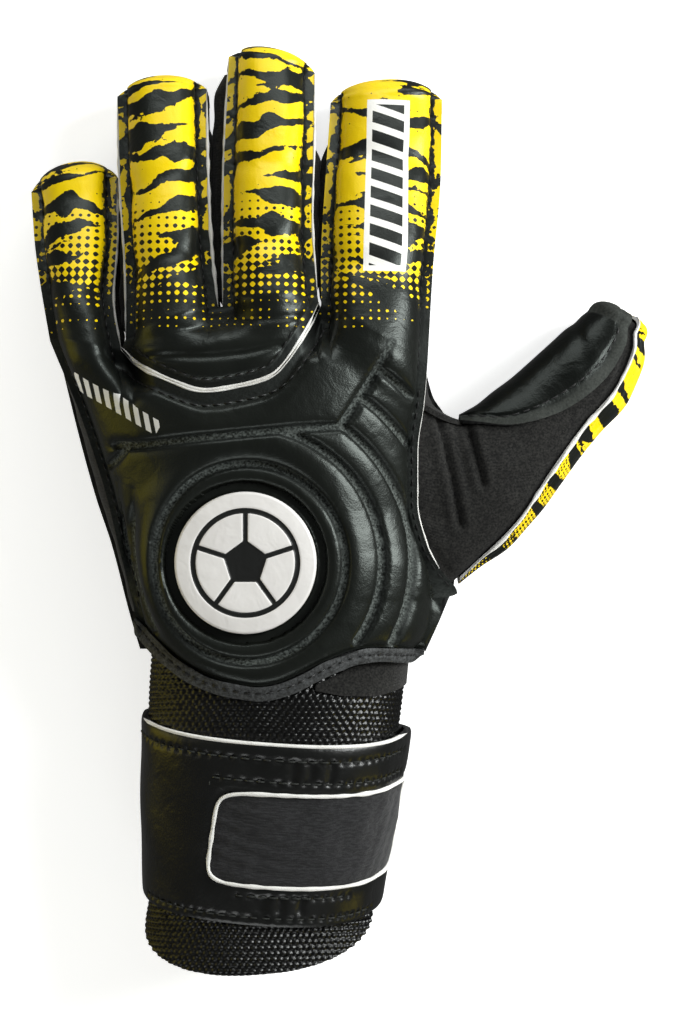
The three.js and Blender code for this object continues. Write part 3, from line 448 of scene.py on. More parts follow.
def make_print():
    # Latex foam with a moulded skin: soft rubber, satin, IOR about 1.52
    material, add, place = start_material(
        "printed latex foam", "#1B1D1B", 0.34, 1.52,
        Specular_IOR_Level=0.34, Specular_Tint=GREEN_CAST,
    )
    names = "ink tone groove print_x print_y band_across band_along row_across row_along"
    marks = {name: add("Attribute", attribute_name=name).outputs["Fac"] for name in names.split()}

    # Screened ink: ragged at its edges, and a halftone where the tone asks for one
    ragged = add("TexNoise", {"Vector": place, "Scale": 520.0, "Detail": 3.0})
    shift = add("Math", (ragged, 0.5), operation="SUBTRACT")
    edge = add("Math", (shift, 1.7, marks["ink"]), operation="MULTIPLY_ADD")
    solid = add("Math", (edge, 0.0), operation="GREATER_THAN")
    waves = []
    for name in ("print_x", "print_y"):
        angle = add("Math", (marks[name], 2 * math.pi / DOT_PITCH), operation="MULTIPLY")
        waves.append(add("Math", (angle,), operation="COSINE"))
    lattice = add("Math", (add("Math", tuple(waves), operation="ADD"), 0.5), operation="MULTIPLY")
    uneven = add("Math", (shift, 0.5, marks["tone"]), operation="MULTIPLY_ADD")
    dots = add("Math", (lattice, uneven), operation="GREATER_THAN")
    pinholes = add("TexVoronoi", {"Vector": place, "Scale": 270.0})
    whole = add("Math", (pinholes, 0.07), operation="GREATER_THAN")
    screened = add("Math", (dots, solid), operation="MULTIPLY")
    yellow = add("Math", (screened, whole), operation="MULTIPLY")

    # The skin under the ink, the crushed skin in the grooves, and painted shade: a dark line along
    # the grooves' sides and dark flanges
    cloudy = add("TexNoise", {"Vector": place, "Scale": 60.0, "Detail": 3.0})
    grit = add("TexNoise", {"Vector": place, "Scale": 1400.0, "Detail": 2.0})
    skin = add("MixRGB", (cloudy, "#0C0E0C", "#191B18"))
    flecks = add("MapRange", {"Value": grit, "From Min": 0.36, "From Max": 0.64})
    crushed = add("MixRGB", (flecks, "#121412", "#5C615E"))
    skin = add("MixRGB", (marks["groove"], skin, crushed))
    # Painted shade: darkest where the groove mark is one half, and none at 0 and at 1
    shoulder = add("Math", (marks["groove"], -2.0, 1.0), operation="MULTIPLY_ADD")
    bent = add("Math", (1.0, add("Math", (shoulder,), operation="ABSOLUTE")), operation="SUBTRACT")
    skin = add("MixRGB", (bent, skin, "#050605"))
    colour = add("MixRGB", (yellow, skin, add("MixRGB", (cloudy, "#EDC800", "#FBDB00"))))

    # A white band of slanted black bars on the index finger, and a short row of white bars
    across, along = marks["band_across"], marks["band_along"]
    on_band = within(add, across, along, BAND["half_width"], BAND["half_length"])
    bars = slanted_bars(add, across, along, BAND["slant"], BAND["pitch"], BAND["black"])
    border = BAND["border"]
    on_bars = within(
        add, across, along, BAND["half_width"] - border, BAND["half_length"] - border,
    )
    bars = add("Math", (bars, on_bars), operation="MULTIPLY")
    colour = add("MixRGB", (on_band, colour, add("MixRGB", (bars, "#F1EFEA", "#1C1D1C"))))
    across, along = marks["row_across"], marks["row_along"]
    on_row = within(add, across, along, ROW["half_width"], ROW["half_length"])
    bars = slanted_bars(add, across, along, ROW["slant"], ROW["pitch"], ROW["white"])
    colour = add("MixRGB", (add("Math", (bars, on_row), operation="MULTIPLY"), colour, "#E4E3E0"))

    rough = add("Math", (marks["groove"], 0.40, 0.29), operation="MULTIPLY_ADD")
    rough = add("Math", (cloudy, 0.10, rough), operation="MULTIPLY_ADD")
    grain = pressed_grain(add, place, 0.55, 0.03)
    return connect(material, Base_Color=colour, Roughness=rough, Normal=grain)


printed_foam = make_print()
print(printed_foam.name, "has", len(printed_foam.node_tree.nodes), "nodes")


# %% [markdown]
# The palm and the thumb's pad are the same foam without print. Its cut edges are raw white
# foam, open-celled and matt. The lining is a knitted tricot glued to the foam's other side.

# %% Plain latex, raw foam and lining
def make_latex():
    # Smooth black latex skin, a little glossier than the printed one
    material, add, place = start_material(
        "black latex skin", "#171917", 0.30, 1.52,
        Specular_IOR_Level=0.19, Specular_Tint=GREEN_CAST,
    )
    groove = add("Attribute", attribute_name="groove").outputs["Fac"]
    cloudy = add("TexNoise", {"Vector": place, "Scale": 45.0, "Detail": 3.0})
    grit = add("TexNoise", {"Vector": place, "Scale": 1400.0, "Detail": 2.0})
    skin = add("MixRGB", (cloudy, "#070807", "#101210"))
    colour = add("MixRGB", (groove, skin, add("MixRGB", (grit, "#050605", "#464844"))))
    rough = add("Math", (groove, 0.42, 0.28), operation="MULTIPLY_ADD")
    grain = pressed_grain(add, place, 0.6, 0.028)
    return connect(material, Base_Color=colour, Roughness=rough, Normal=grain)


def make_raw_foam():
    # Cut latex foam: chalky white, with open cells about 0.3 mm wide
    material, add, place = start_material("raw white foam", "#E9E7E3", 0.9, 1.45)
    cells = add("TexVoronoi", {"Vector": place, "Scale": 3300.0})
    dirt = add("TexNoise", {"Vector": place, "Scale": 160.0, "Detail": 3.0})
    colour = add("MixRGB", (dirt, "#D2CFC9", "#FFFEFB"))
    pitted = add("Bump", {"Height": cells, "Distance": 0.15 * MM})
    return connect(material, Base_Color=colour, Normal=pitted)


def make_lining():
    # Warp-knitted tricot: fine wales 1 mm apart, dull black
    material, add, place = start_material("tricot lining", "#161616", 0.95, 1.5)
    wales = add("TexWave", {"Vector": place, "Scale": 1000 / 6.3, "Distortion": 1.0})
    colour = add("MixRGB", (wales, "#101010", "#1E1E1E"))
    ridged = add("Bump", {"Height": wales, "Distance": 0.2 * MM})
    return connect(material, Base_Color=colour, Normal=ridged)


black_latex = make_latex()
raw_foam = make_raw_foam()
lining = make_lining()
print("finishes so far:", ", ".join(material.name for material in bpy.data.materials))

# %% [markdown]
# ## Sections of the hand and the fingers
# Each finger is a roll: two foam panels with a flat sewn lip at both sides, and a dome
# between them. A row below is one cross-section. left and right are the outer edges of the
# back, side is the height from its lip down to the palm's lip, and back and palm say how far
# the padding stands above and below those lips.

# %% Tables of sections
SECTION = "leftX leftY leftZ rightX rightY rightZ side back palm"
FINGERS = {
    "little": (8, table(SECTION, """
        -88 52.5 37 -65.5 49 43 18 13 9
        -91.5 70 33 -68.5 65 37 16 12 9
        -94 83.5 28 -68 84.5 30 15 10 8.5
        -96 100.5 22 -69 105 22 14 9 8""")),
    "ring": (6, table(SECTION, """
        -64 52.5 44 -36 62 46 19 14 10
        -65 75.5 38 -38.5 83 39 17 12 9
        -67.5 103 30 -40 107.5 31 15 10 8.5
        -69 130.5 22 -41 133 22 14 9 8""")),
    "middle": (6, table(SECTION, """
        -34.5 62 46 -6 66 46 19 14 10
        -35 87.5 39 -7.5 89 39 17 12 9
        -35 113.5 31 -7 115 31 15 10 8.5
        -34 143 22 -7 138 22 14 9 8""")),
    "index": (8, table(SECTION, """
        -4.8 62.5 45 27.5 45 42 19 14 10
        -4.8 81.5 38 29.5 75.5 37 17 12 9
        -3.5 104.5 31 32 100.5 30 15 10 8.5
        -2 128.5 22 33 129.5 22 14 9 8""")),
}
LEFT_EDGE = table("y x z palmX palmZ", """
    -46 -60 34 -61 19
    -32.5 -62 34 -65 19
    -10 -67.5 33 -71 18
    5 -71 34 -76 18
    29 -78.5 36 -82.5 18
    52.5 -88 37 -88 19""")
RIGHT_EDGE = table("y x z", """
    -42 27 34
    -33 31.5 34
    -27 32.5 34
    -25 37 35
    -17.5 31.5 38
    -10 27.5 40
    3 24.5 41
    18 24.5 42
    33.5 26.5 42
    45 27.5 42""")
RIGHT_FOOT = table("y x", """
    -42 23.7
    -33 27.6
    -25 28.4
    -17.5 27.2
    -10 24.3
    3 21.2
    18 21.2
    33.5 23.2
    45 24.2""")
PALM_RIGHT_EDGE = table("y x z", """
    -44 27 28.4
    -33 32 28.4
    -27 34.5 28
    -22 36.8 20
    26 36.8 18
    31 33.5 20
    36 30 21
    45 27.5 23""")
CROWNS = table("y back palm", """
    -50 59 1
    -15 60.5 3
    30 61 10
    62 59 16""")
HEM_LINE = line_through([
    (-62, -32.5), (-56.5, -36.5), (-43, -46.5), (-28.5, -51),
    (-17.5, -50.5), (-1, -43), (10, -40.3), (27, -42),
])
U_SEAM = line_through([
    (-65.5, 49), (-58.5, 43), (-48, 38), (-39.5, 35.5), (-28.5, 37),
    (-20, 39.5), (-15, 44), (-9.5, 52.5), (-4.8, 62.5),
])
BACK_FOAM, PALM_FOAM, TIP_FOAM = 4, 6, 4
LIP_WIDTH, LIP_THICKNESS = 3.3, 2.5
TEXTILE, TEXTILE_INSET = 1.6, 1.5
GAP, SEAM_GAP = 0.3, 0.8
DOME_POWER, INNER_FOOT = 2.4, 0.8
TIP_SEAM_Z, CROTCH_DROP = 12.6, 2.6
U_SEAM_DEPTH, U_SEAM_END = 1.5, 14
BADGE_SEAT = {"z": 58.5, "inner": 26, "outer": 38}
PALM_LOW_EDGE = np.array([[-61.0, -43.0], [27.0, -43.0]])
for name, line in (("U seam", U_SEAM), ("hem", HEM_LINE)):
    print("the", name, "is", round(length_of(line), 1), "mm long")

# %% [markdown]
# ## The surfaces that the panels follow
# A finger's grid runs across from lip to lip and along to the tip, where both panels turn
# down into the seam at half height. The back and the palm of the hand are domes between two
# lips. Near the finger roots they blend into the fingers' own sections.

# %% Finger, back and palm surfaces
def finger_surface(name, column, along, side):
    """Outer and inner points and place in mm. column is -2 to 2, with the dome from -1 to 1.
    along is 0 to 1 from root to tip, then to 2 down to the tip's seam."""
    reach, rows = FINGERS[name]
    column, along = np.broadcast_arrays(column, along)
    at = {key: through(values, np.minimum(along, 1)) for key, values in rows.items()}
    turn = np.maximum(along - 1, 0) * math.pi / 2
    edge_x, edge_y = at["rightX"] - at["leftX"], at["rightY"] - at["leftY"]
    half = np.hypot(edge_x, edge_y) / 2
    foot = 1 - LIP_WIDTH / half
    flat = np.sign(column) * (foot + (1 - foot) * (np.abs(column) - 1))
    across = np.where(np.abs(column) <= 1, foot * np.sin(column * math.pi / 2), flat)
    share = (across + 1) / 2
    back = side == "back"
    up, foam = (1, BACK_FOAM) if back else (-1, PALM_FOAM)
    lip_z = mix(at["leftZ"], at["rightZ"], share)
    base = lip_z if back else lip_z - at["side"]
    rise = at["back" if back else "palm"]

    def dome(foot):
        return (1 - np.minimum(np.abs(across) / foot, 1) ** DOME_POWER) ** (1 / DOME_POWER)

    outer_z = base + up * rise * dome(foot)
    inner_rise = (rise + LIP_THICKNESS - foam) * dome(foot - foam * INNER_FOOT / half)
    inner_z = base + up * (inner_rise - LIP_THICKNESS)
    bow = reach * (1 - np.abs(across) ** 2.2) ** 0.6
    inside_bow = bow - TIP_FOAM
    corner = np.where(along >= 1, np.minimum(inside_bow, 0), 0)
    seam_z = TIP_SEAM_Z if back else TIP_SEAM_Z - GAP

    def place(forward, z):
        return np.stack([
            mix(at["leftX"], at["rightX"], share) - edge_y / half / 2 * forward,
            mix(at["leftY"], at["rightY"], share) + edge_x / half / 2 * forward,
            mix(seam_z, z, np.cos(turn)),
        ], -1)

    outer = place(bow * np.sin(turn), outer_z)
    inner = place(np.maximum(inside_bow, 0) * np.sin(turn) + corner, inner_z)
    length = math.hypot(rows["leftX"][-1] - rows["leftX"][0], rows["leftY"][-1] - rows["leftY"][0])
    return outer, inner, across * half, along * length


def hand_dome(left, right, crown, left_z, right_z, x):
    share = np.clip((x - left) / (right - left), 0, 1)
    shape = (1 - np.abs(2 * share - 1) ** 2.6) ** (1 / 1.6)
    return mix(mix(left_z, right_z, share), crown, shape)


def back_height(x, y):
    left = look_up(LEFT_EDGE, "x", y) + LIP_WIDTH
    right = look_up(RIGHT_FOOT, "x", y)
    height = hand_dome(
        left, right, look_up(CROWNS, "back", y),
        look_up(LEFT_EDGE, "z", y), look_up(RIGHT_EDGE, "z", y), x,
    )
    away = np.hypot(x - BADGE_CENTRE[0], y - BADGE_CENTRE[1])
    return mix(BADGE_SEAT["z"], height, smooth(BADGE_SEAT["inner"], BADGE_SEAT["outer"], away))


def palm_height(x, y):
    left = look_up(LEFT_EDGE, "palmX", y) + LIP_WIDTH
    right = look_up(PALM_RIGHT_EDGE, "x", y) - LIP_WIDTH
    return hand_dome(
        left, right, look_up(CROWNS, "palm", y),
        look_up(LEFT_EDGE, "palmZ", y), look_up(PALM_RIGHT_EDGE, "z", y), x,
    )


def edge_line(rows, key, from_y, to_y, part):
    y = mix(from_y, to_y, part)
    return np.stack([look_up(rows, key, y), y], -1)


def hand_patch(across, up, low, high, left, right):
    """Plan points between a lower and an upper edge. The side edges bend the columns near them."""
    straight = mix(low, high, up)
    left_bend = left - mix(low[:, :1], high[:, :1], up)
    right_bend = right - mix(low[:, -1:], high[:, -1:], up)
    return straight + left_bend * (1 - across) ** 3 + right_bend * across ** 3


def foam_at(distance, foam):
    return mix(LIP_THICKNESS, foam, smooth(LIP_WIDTH, LIP_WIDTH + 3, distance))


def finger_columns(lip_cells, dome_cells):
    """Columns across a finger from -2 to 2: a lip, the dome and the other lip."""
    lip = np.arange(lip_cells) / lip_cells
    return np.concatenate([lip - 2, np.linspace(-1, 1, dome_cells + 1), lip + 1 + 1 / lip_cells])


for finger in FINGERS:
    tip, _, _, reached = finger_surface(finger, 0.0, 2.0, "back")
    print(f"{finger}: {reached / 2:.0f} mm of dome, its tip's seam {tip[2]:.1f} mm up")


# %% [markdown]
# ## Relief: grooves, padding and seams
# Hot pressing fuses the foam along lines, and it swells between them. So the height of the
# skin depends on how far it is from the nearest line: flat and low on the line, then a
# steep shoulder, then a rounded top. The rings round the badge, the lines across the hand
# and the seams all use this one profile.

# %% Lines pressed into the back
turns = np.linspace(0, 2 * math.pi, 97)
PRESSED_LINES = [
    # The ring comes closer to the badge on the little finger's side
    line_round_badge(29.5 - 2.5 * bell(np.abs(turns - math.pi), 0.9), turns),
    arc(40.3, -35.5, 75),
    arc(49.5, -29, 54),
    arc(59.8, 36.9, 54.6),
    arc(69.8, 46, 55),
    line_through([(-66, 20.2), (-58, 20), (-43, 21.6), (-30.5, 22.8), (-18, 24), (1, 25.4)], 40),
    line_through([(1, 25.4), (7.1, 34.8), (13, 44.5), (19.8, 57)], 30),
    line_through([(-68.5, 14.6), (-65.5, 16.8), (-62.5, 19.8)], 12),
]
# These two run out at their upper ends
FADING_LINES = [
    line_through([(-60.6, 7), (-61.3, -3), (-61, -13), (-58.8, -24), (-54.2, -36.5)], 24),
    line_through([(-65.7, 9.6), (-64.8, -8.4), (-61, -25)], 20),
]
GROOVE = {"half": 0.8, "shoulder": 0.9, "depth": 1.1}
PUFF = {"rise": 1.3, "run": 3.6}
BADGE_RECESS = {"from": 21.4, "to": 24.0, "depth": 1.6}
BACK_SEAM_FLANGE = 4.4
ALL_LINES = PRESSED_LINES + FADING_LINES
print(len(ALL_LINES), "pressed lines,", round(sum(map(length_of, ALL_LINES))), "mm in all")


def rounded(part):
    """A quarter circle's rise, steep at 0 and level at 1."""
    return np.sqrt(1 - (1 - np.clip(part, 0, 1)) ** 2)


def pressed_height(line_distance, seam_distance):
    """Height of the skin by its distance from pressed lines and from the nearest sewn flange."""
    floor = 1 - smooth(GROOVE["half"], GROOVE["half"] + GROOVE["shoulder"], line_distance)
    free = np.minimum(line_distance - GROOVE["half"], seam_distance)
    return PUFF["rise"] * rounded(free / PUFF["run"]) - GROOVE["depth"] * floor, floor


# %% [markdown]
# ## The print
# Bold stripes with tapering ends cross every finger, like strokes of a wide brush. Each stroke
# is a thin lens: a middle line that slopes and bows a little, and a width that shrinks to a
# point at each end, on the finger or past its edge. The random numbers are seeded, so each run
# draws the same.

# %% Brush strokes across the fingers
STROKES = {"pitch": 8.6, "thin": 1.4, "thick": 7.2, "lowest": 5, "over_tip": 18}


def stroke(across, along, line, width, start, end, half):
    """Distance in mm from one stroke, which thins out to nothing at both ends."""
    taper = np.clip(np.minimum(across - start, end - across) / (0.5 * half), -1, 1)
    return np.abs(along - line) - width * np.sign(taper) * np.abs(taper) ** 0.7 / 2


def brush_ink(across, along, length, half, seed):
    """Distance in mm from the nearest black stroke, below 0 inside it."""
    random = np.random.default_rng(seed)
    ink = np.full(across.shape, 20.0)
    middle = length + STROKES["over_tip"]
    while middle > STROKES["lowest"]:
        slope, bow = random.uniform(-0.22, 0.22), random.uniform(-1.5, 3.5)
        thick = random.uniform(0.45, 1.0) * STROKES["thick"]
        belly, spread = random.uniform(-0.9, 0.9) * half, random.uniform(0.35, 0.75) * half
        line = middle + slope * across - bow * (across / half) ** 2
        line = line + 1.3 * ripple(across, along, 12, seed + int(middle))
        width = STROKES["thin"] + (thick - STROKES["thin"]) * bell(across - belly, spread)
        width = width * (1 + 0.35 * ripple(across, along, 7, seed + 7 + int(middle)))
        reach = (1.6 if random.random() < 0.55 else random.uniform(0.6, 1.1)) * half
        ends = belly - reach, belly + reach
        ink = np.minimum(ink, stroke(across, along, line, width, *ends, half))
        beside = random.uniform(2.6, 3.8) * random.choice([-1, 1])
        ends = belly - 0.9 * half, belly + 0.4 * half
        if random.random() < 0.6:
            ink = np.minimum(ink, stroke(across, along, line + beside, 1.0, *ends, half))
        middle -= STROKES["pitch"] * random.uniform(0.75, 1.2)
    return ink


sample = np.meshgrid(np.linspace(-14, 14, 57), np.linspace(0, 70, 141))
print(f"strokes cover {(brush_ink(*sample, 70.0, 14.0, 80) < 0).mean():.0%} of a sample finger")


def finger_tone(y):
    """How far the halftone has gone from solid ink, -1, to bare skin, 1, down the fingers."""
    places = [50, 53.5, 55.5, 58.5, 61, 64, 71, 78, 85, 93, 99]
    return np.interp(y, places, [2.5, 1.25, 0.9, 0.8, 1.0, 0.6, 0.08, -0.2, -0.5, -0.75, -1.3])


def print_marks(points, ink):
    """The marks that the print's finish reads, from grid points and ink distances."""
    x, y = points[..., 0], points[..., 1]
    turn = math.radians(ROW["turn"])
    away_x, away_y = x - ROW["x"], y - ROW["y"]
    return {
        "ink": ink,
        "tone": finger_tone(y + 1.5 * ripple(x, y, 24, 61)) + 0.16 * ripple(x, y, 11, 60),
        "print_x": x,
        "print_y": y,
        "band_across": x - BAND["x"] - BAND["lean"] * (y - BAND["y"]),
        "band_along": y - BAND["y"],
        "row_along": away_x * math.cos(turn) + away_y * math.sin(turn),
        "row_across": away_y * math.cos(turn) - away_x * math.sin(turn),
    }


# %% [markdown]
# ## The back of the glove
# One sheet of foam makes the back of the hand and the backs of the little and the index
# finger. Its grid has the little finger's columns, then the U-shaped seam's, then the index
# finger's. Below the roots all columns run down to the hem; above them only the fingers' do.

# %% Back panel: columns and body
LIP_CELLS, DOME_CELLS = 4, 42
ROLL = finger_columns(LIP_CELLS, DOME_CELLS)
STRAIGHT_CELLS, TIP_CELLS, BODY_ROWS = 67, 14, 176
TIP_ARC = 20.0
# How far from a finger's root, in mm, its own section starts and stops to blend into the hand's
ROOT_BLEND = {"from": 3.6, "to": 18.0, "to_at_seam": 6.6}


def rows_along(straight_cells, tip_cells):
    """Rows from a finger's root at 0 to its tip at 1, then down to the tip's seam at 2."""
    return np.concatenate([
        np.linspace(0, 1, straight_cells + 1), 1 + np.linspace(0, 1, tip_cells + 1)[1:],
    ])


ALONG = rows_along(STRAIGHT_CELLS, TIP_CELLS)


def root_of(name, side, columns=ROLL):
    outer, inner, _, _ = finger_surface(name, columns, 0.0, side)
    return outer, outer[:, 2] - inner[:, 2]


def seam_columns(count, from_z, to_z):
    """Root points along the U seam, with the foam's thickness and how far the seam blends."""
    part = np.arange(1, count) / count
    plan = at_part(U_SEAM, part)
    from_end = smooth(0, U_SEAM_END, np.minimum(part, 1 - part) * length_of(U_SEAM))
    z = mix(mix(from_z, to_z, part), back_height(plan[:, 0], plan[:, 1]) - U_SEAM_DEPTH, from_end)
    thick = mix(LIP_THICKNESS, BACK_FOAM - U_SEAM_DEPTH, from_end)
    fade = mix(ROOT_BLEND["to"], ROOT_BLEND["to_at_seam"], from_end)
    return np.column_stack([plan, z]), thick, fade


def back_body(up, roots, drop, fade):
    """Outer and inner grids from the hem to the roots, distances from roots and side edges."""
    across = (roots[:, 0] - roots[0, 0]) / (roots[-1, 0] - roots[0, 0])
    low, high = at_part(HEM_LINE, across)[None], roots[None, :, :2]
    left = edge_line(LEFT_EDGE, "x", HEM_LINE[0, 1], roots[0, 1], up)[:, None]
    right = edge_line(RIGHT_EDGE, "x", HEM_LINE[-1, 1], roots[-1, 1], up)[:, None]
    plan = hand_patch(across[None, :, None], up[:, None, None], low, high, left, right)
    x, y = plan[..., 0], plan[..., 1]
    from_root = np.hypot(x - roots[:, 0], y - roots[:, 1])
    away = 1 - smooth(ROOT_BLEND["from"], fade[None], from_root)
    z = mix(back_height(x, y), roots[:, 2], away)
    from_left = x - look_up(LEFT_EDGE, "x", y)
    side = np.minimum(from_left, look_up(RIGHT_FOOT, "x", y) + LIP_WIDTH - x)
    thick = mix(foam_at(side, BACK_FOAM), drop, away)
    return np.stack([x, y, z], -1), np.stack([x, y, z - thick], -1), from_root, side


little_root, little_drop = root_of("little", "back")
index_root, index_drop = root_of("index", "back")
seam_root, seam_drop, seam_fade = seam_columns(100, little_root[-1, 2], index_root[0, 2])
back_roots = np.concatenate([little_root, seam_root, index_root])
back_drop = np.concatenate([little_drop, seam_drop, index_drop])
finger_fade = np.full(len(ROLL), ROOT_BLEND["to"])
back_fade = np.concatenate([finger_fade, seam_fade, finger_fade])
INDEX_START = len(back_roots) - len(ROLL)
body_outer, body_inner, body_from_root, body_side = back_body(
    np.linspace(0, 1, BODY_ROWS), back_roots, back_drop, back_fade,
)
print("back body grid:", body_outer.shape[:2])


# %% [markdown]
# The fingers of the back go on from the last row of the body. Their padding has shallow dents
# across it, where the finger bends, and a stitched channel along the foot of the dome.

# %% Back panel: fingers, relief and marks
STITCH = {"pitch": 3.4, "channel": 0.9}
# Where the dents of a bent finger lie, in mm from its root
FINGER_DENTS = (20, 47)
# The ink distance that stands for skin without strokes
BARE = 5.0


def pull_at(along, depth=0.4):
    """How far stitches pull their channel down: 1 at a stitch, less between two."""
    return 1 - depth + depth * np.cos(2 * math.pi * along / STITCH["pitch"])


def finger_relief(across, along, column, seed):
    """Dents across the padding, a channel at its foot and small pulls at the stitches."""
    random = np.random.default_rng(seed)
    on_dome = smooth(1, 0.86, np.abs(column))
    relief = 0.35 * ripple(across, along, 22, seed) * on_dome
    for middle in FINGER_DENTS:
        place = middle + random.uniform(-4, 4) + across * random.uniform(-0.12, 0.12)
        relief = relief - 0.7 * bell(along - place, 3.5) * on_dome
    channel = bell(np.abs(column) - 1.06, 0.10)
    return relief - STITCH["channel"] * channel * pull_at(along)


def finger_panel(name, seed):
    """A finger's rows above its root, on the back: points, relief, groove and ink."""
    outer, inner, across, up = finger_surface(name, ROLL[None], ALONG[1:, None], "back")
    relief = finger_relief(across, up, np.broadcast_to(ROLL, across.shape), seed)
    fade = smooth(0, 10, up)
    length = up.max() * 0.5
    over = np.minimum(up, length) + np.maximum(up - length, 0) * TIP_ARC / length
    ink = brush_ink(across, over, length, 14.0, seed + 50)
    # The channel at the dome's foot stays black, and outside it black mottles of ink on the flange
    # are painted shade
    from_foot = np.abs(across) - np.abs(across[:, LIP_CELLS:LIP_CELLS + 1])
    channel = np.abs(from_foot - 0.3) - 0.7
    flange_shade_ink = np.where(from_foot > 0.8, 1.1 * ripple(across, up, 7, seed + 80) + 0.35, BARE)
    ink = np.minimum.reduce([ink, channel, flange_shade_ink])
    # Painted shade: a groove mark of one half turns the lips near the hand fully dark
    scuff_and_shade = 0.5 * smooth(1.0, 1.05, np.abs(ROLL)) * (1 - smooth(56, 78, outer[..., 1]))
    return outer, inner, relief * fade, scuff_and_shade, ink


def stacked(body, *fingers):
    """A body's grid with finger blocks on top. Each finger gives its first column and rows."""
    rows = fingers[0][1].shape[0]
    top = np.repeat(body[-1:], rows, 0)
    for start, values in fingers:
        top[:, start:start + values.shape[1]] = values
    return np.concatenate([body, top])


def cells_present(grid, body_rows, finger_columns_each, starts):
    """The cells of a stacked grid: all of its body, and its fingers' columns above that."""
    present = np.zeros((grid.shape[0] - 1, grid.shape[1] - 1), bool)
    present[:body_rows - 1] = True
    for start in starts:
        present[:, start:start + finger_columns_each - 1] = True
    return present


def back_relief():
    x, y = body_outer[..., 0], body_outer[..., 1]
    fading = nearest_of(FADING_LINES, x, y) + 1.7 * smooth(-4, 7, y)
    lines = np.minimum(nearest_of(PRESSED_LINES, x, y), fading)
    seam = distance_to(U_SEAM, x, y)
    hem = distance_to(HEM_LINE, x, y)
    below_flap = (x > 0) * (1 - smooth(-31, -25, y))
    flange = np.minimum.reduce([
        body_side - LIP_WIDTH * (1 - below_flap), seam - BACK_SEAM_FLANGE, hem - 0.8,
    ])
    height, floor = pressed_height(lines, np.maximum(flange, 0))
    from_badge = np.hypot(x - BADGE_CENTRE[0], y - BADGE_CENTRE[1])
    ring = rounded((from_badge - BADGE_RECESS["to"]) / 3.4)
    recess = smooth(BADGE_RECESS["from"] - 0.8, BADGE_RECESS["from"] + 0.2, from_badge)
    height = np.where(from_badge < 29, np.minimum(height, PUFF["rise"] * ring), height)
    height = np.where(from_badge < BADGE_RECESS["to"], -BADGE_RECESS["depth"] * recess, height)
    fade = smooth(1, 12, np.minimum(body_from_root, seam + 6 * (seam < 12)))
    waves = 0.14 * ripple(x, y, 26, 5) * smooth(0, 8, flange)
    # The groove mark: paler crushed skin in the grooves, and painted shade where it is near one
    # half, on the grooves' sides, along the U seam's flange and on the side lips
    edge = 0.6 * (1 - smooth(2.6, 3.6, body_side)) * smooth(-40, -5, y * np.sign(x))
    scuff_and_shade = np.maximum.reduce([
        floor * (from_badge > 25), 0.55 * (1 - smooth(3.4, 4.6, seam)), edge,
    ])
    return (height + waves) * fade, scuff_and_shade


def printed_panel(name, cad_node, body, fingers):
    """A body with fingers on it: its grids are outer, inner, relief and groove, and each finger
    has a first column, a name and a seed."""
    bare = np.full(body[2].shape, BARE)
    panels = [(start, finger_panel(finger, seed)) for start, finger, seed in fingers]
    outer, inner, relief, groove, ink = (
        stacked(grid, *((start, panel[i]) for start, panel in panels))
        for i, grid in enumerate((*body, bare))
    )
    present = cells_present(outer, len(bare), len(ROLL), [start for start, _ in panels])
    marks = print_marks(outer, ink) | {"groove": groove}
    return make_foam(
        name, (outer, inner), [printed_foam, lining], relief, marks, present,
        cad_node=cad_node, slot="print",
    )


back_skin = printed_panel(
    "back_skin", "back_panel", (body_outer, body_inner, *back_relief()),
    [(0, "little", 30), (INDEX_START, "index", 36)],
)


# %% [markdown]
# ## The knuckle inset
# A second sheet covers the knuckles and the backs of the ring and middle fingers. It's sewn
# into the back along the U-shaped seam, with both raw edges showing white. Its skin has two
# soft creases across it, where the hand bends.

# %% Knuckle inset
KNUCKLE = {"rows": 42, "crown": 13.5, "flange": 3.3, "puff": 1.5, "crease": 0.9}
KNUCKLE_CREASES = [
    line_through([(-55.4, 46.2), (-38.8, 46), (-28, 47), (-16.9, 49.2)], 30),
    line_through([(-60, 56.5), (-45, 54.4), (-36, 56), (-26, 57), (-11, 58)], 30),
]


def roots_of(names, side, columns):
    """The roots of several fingers as one row, with the foam's thickness there."""
    parts = [root_of(name, side, columns) for name in names]
    return (np.concatenate(rows) for rows in zip(*parts))


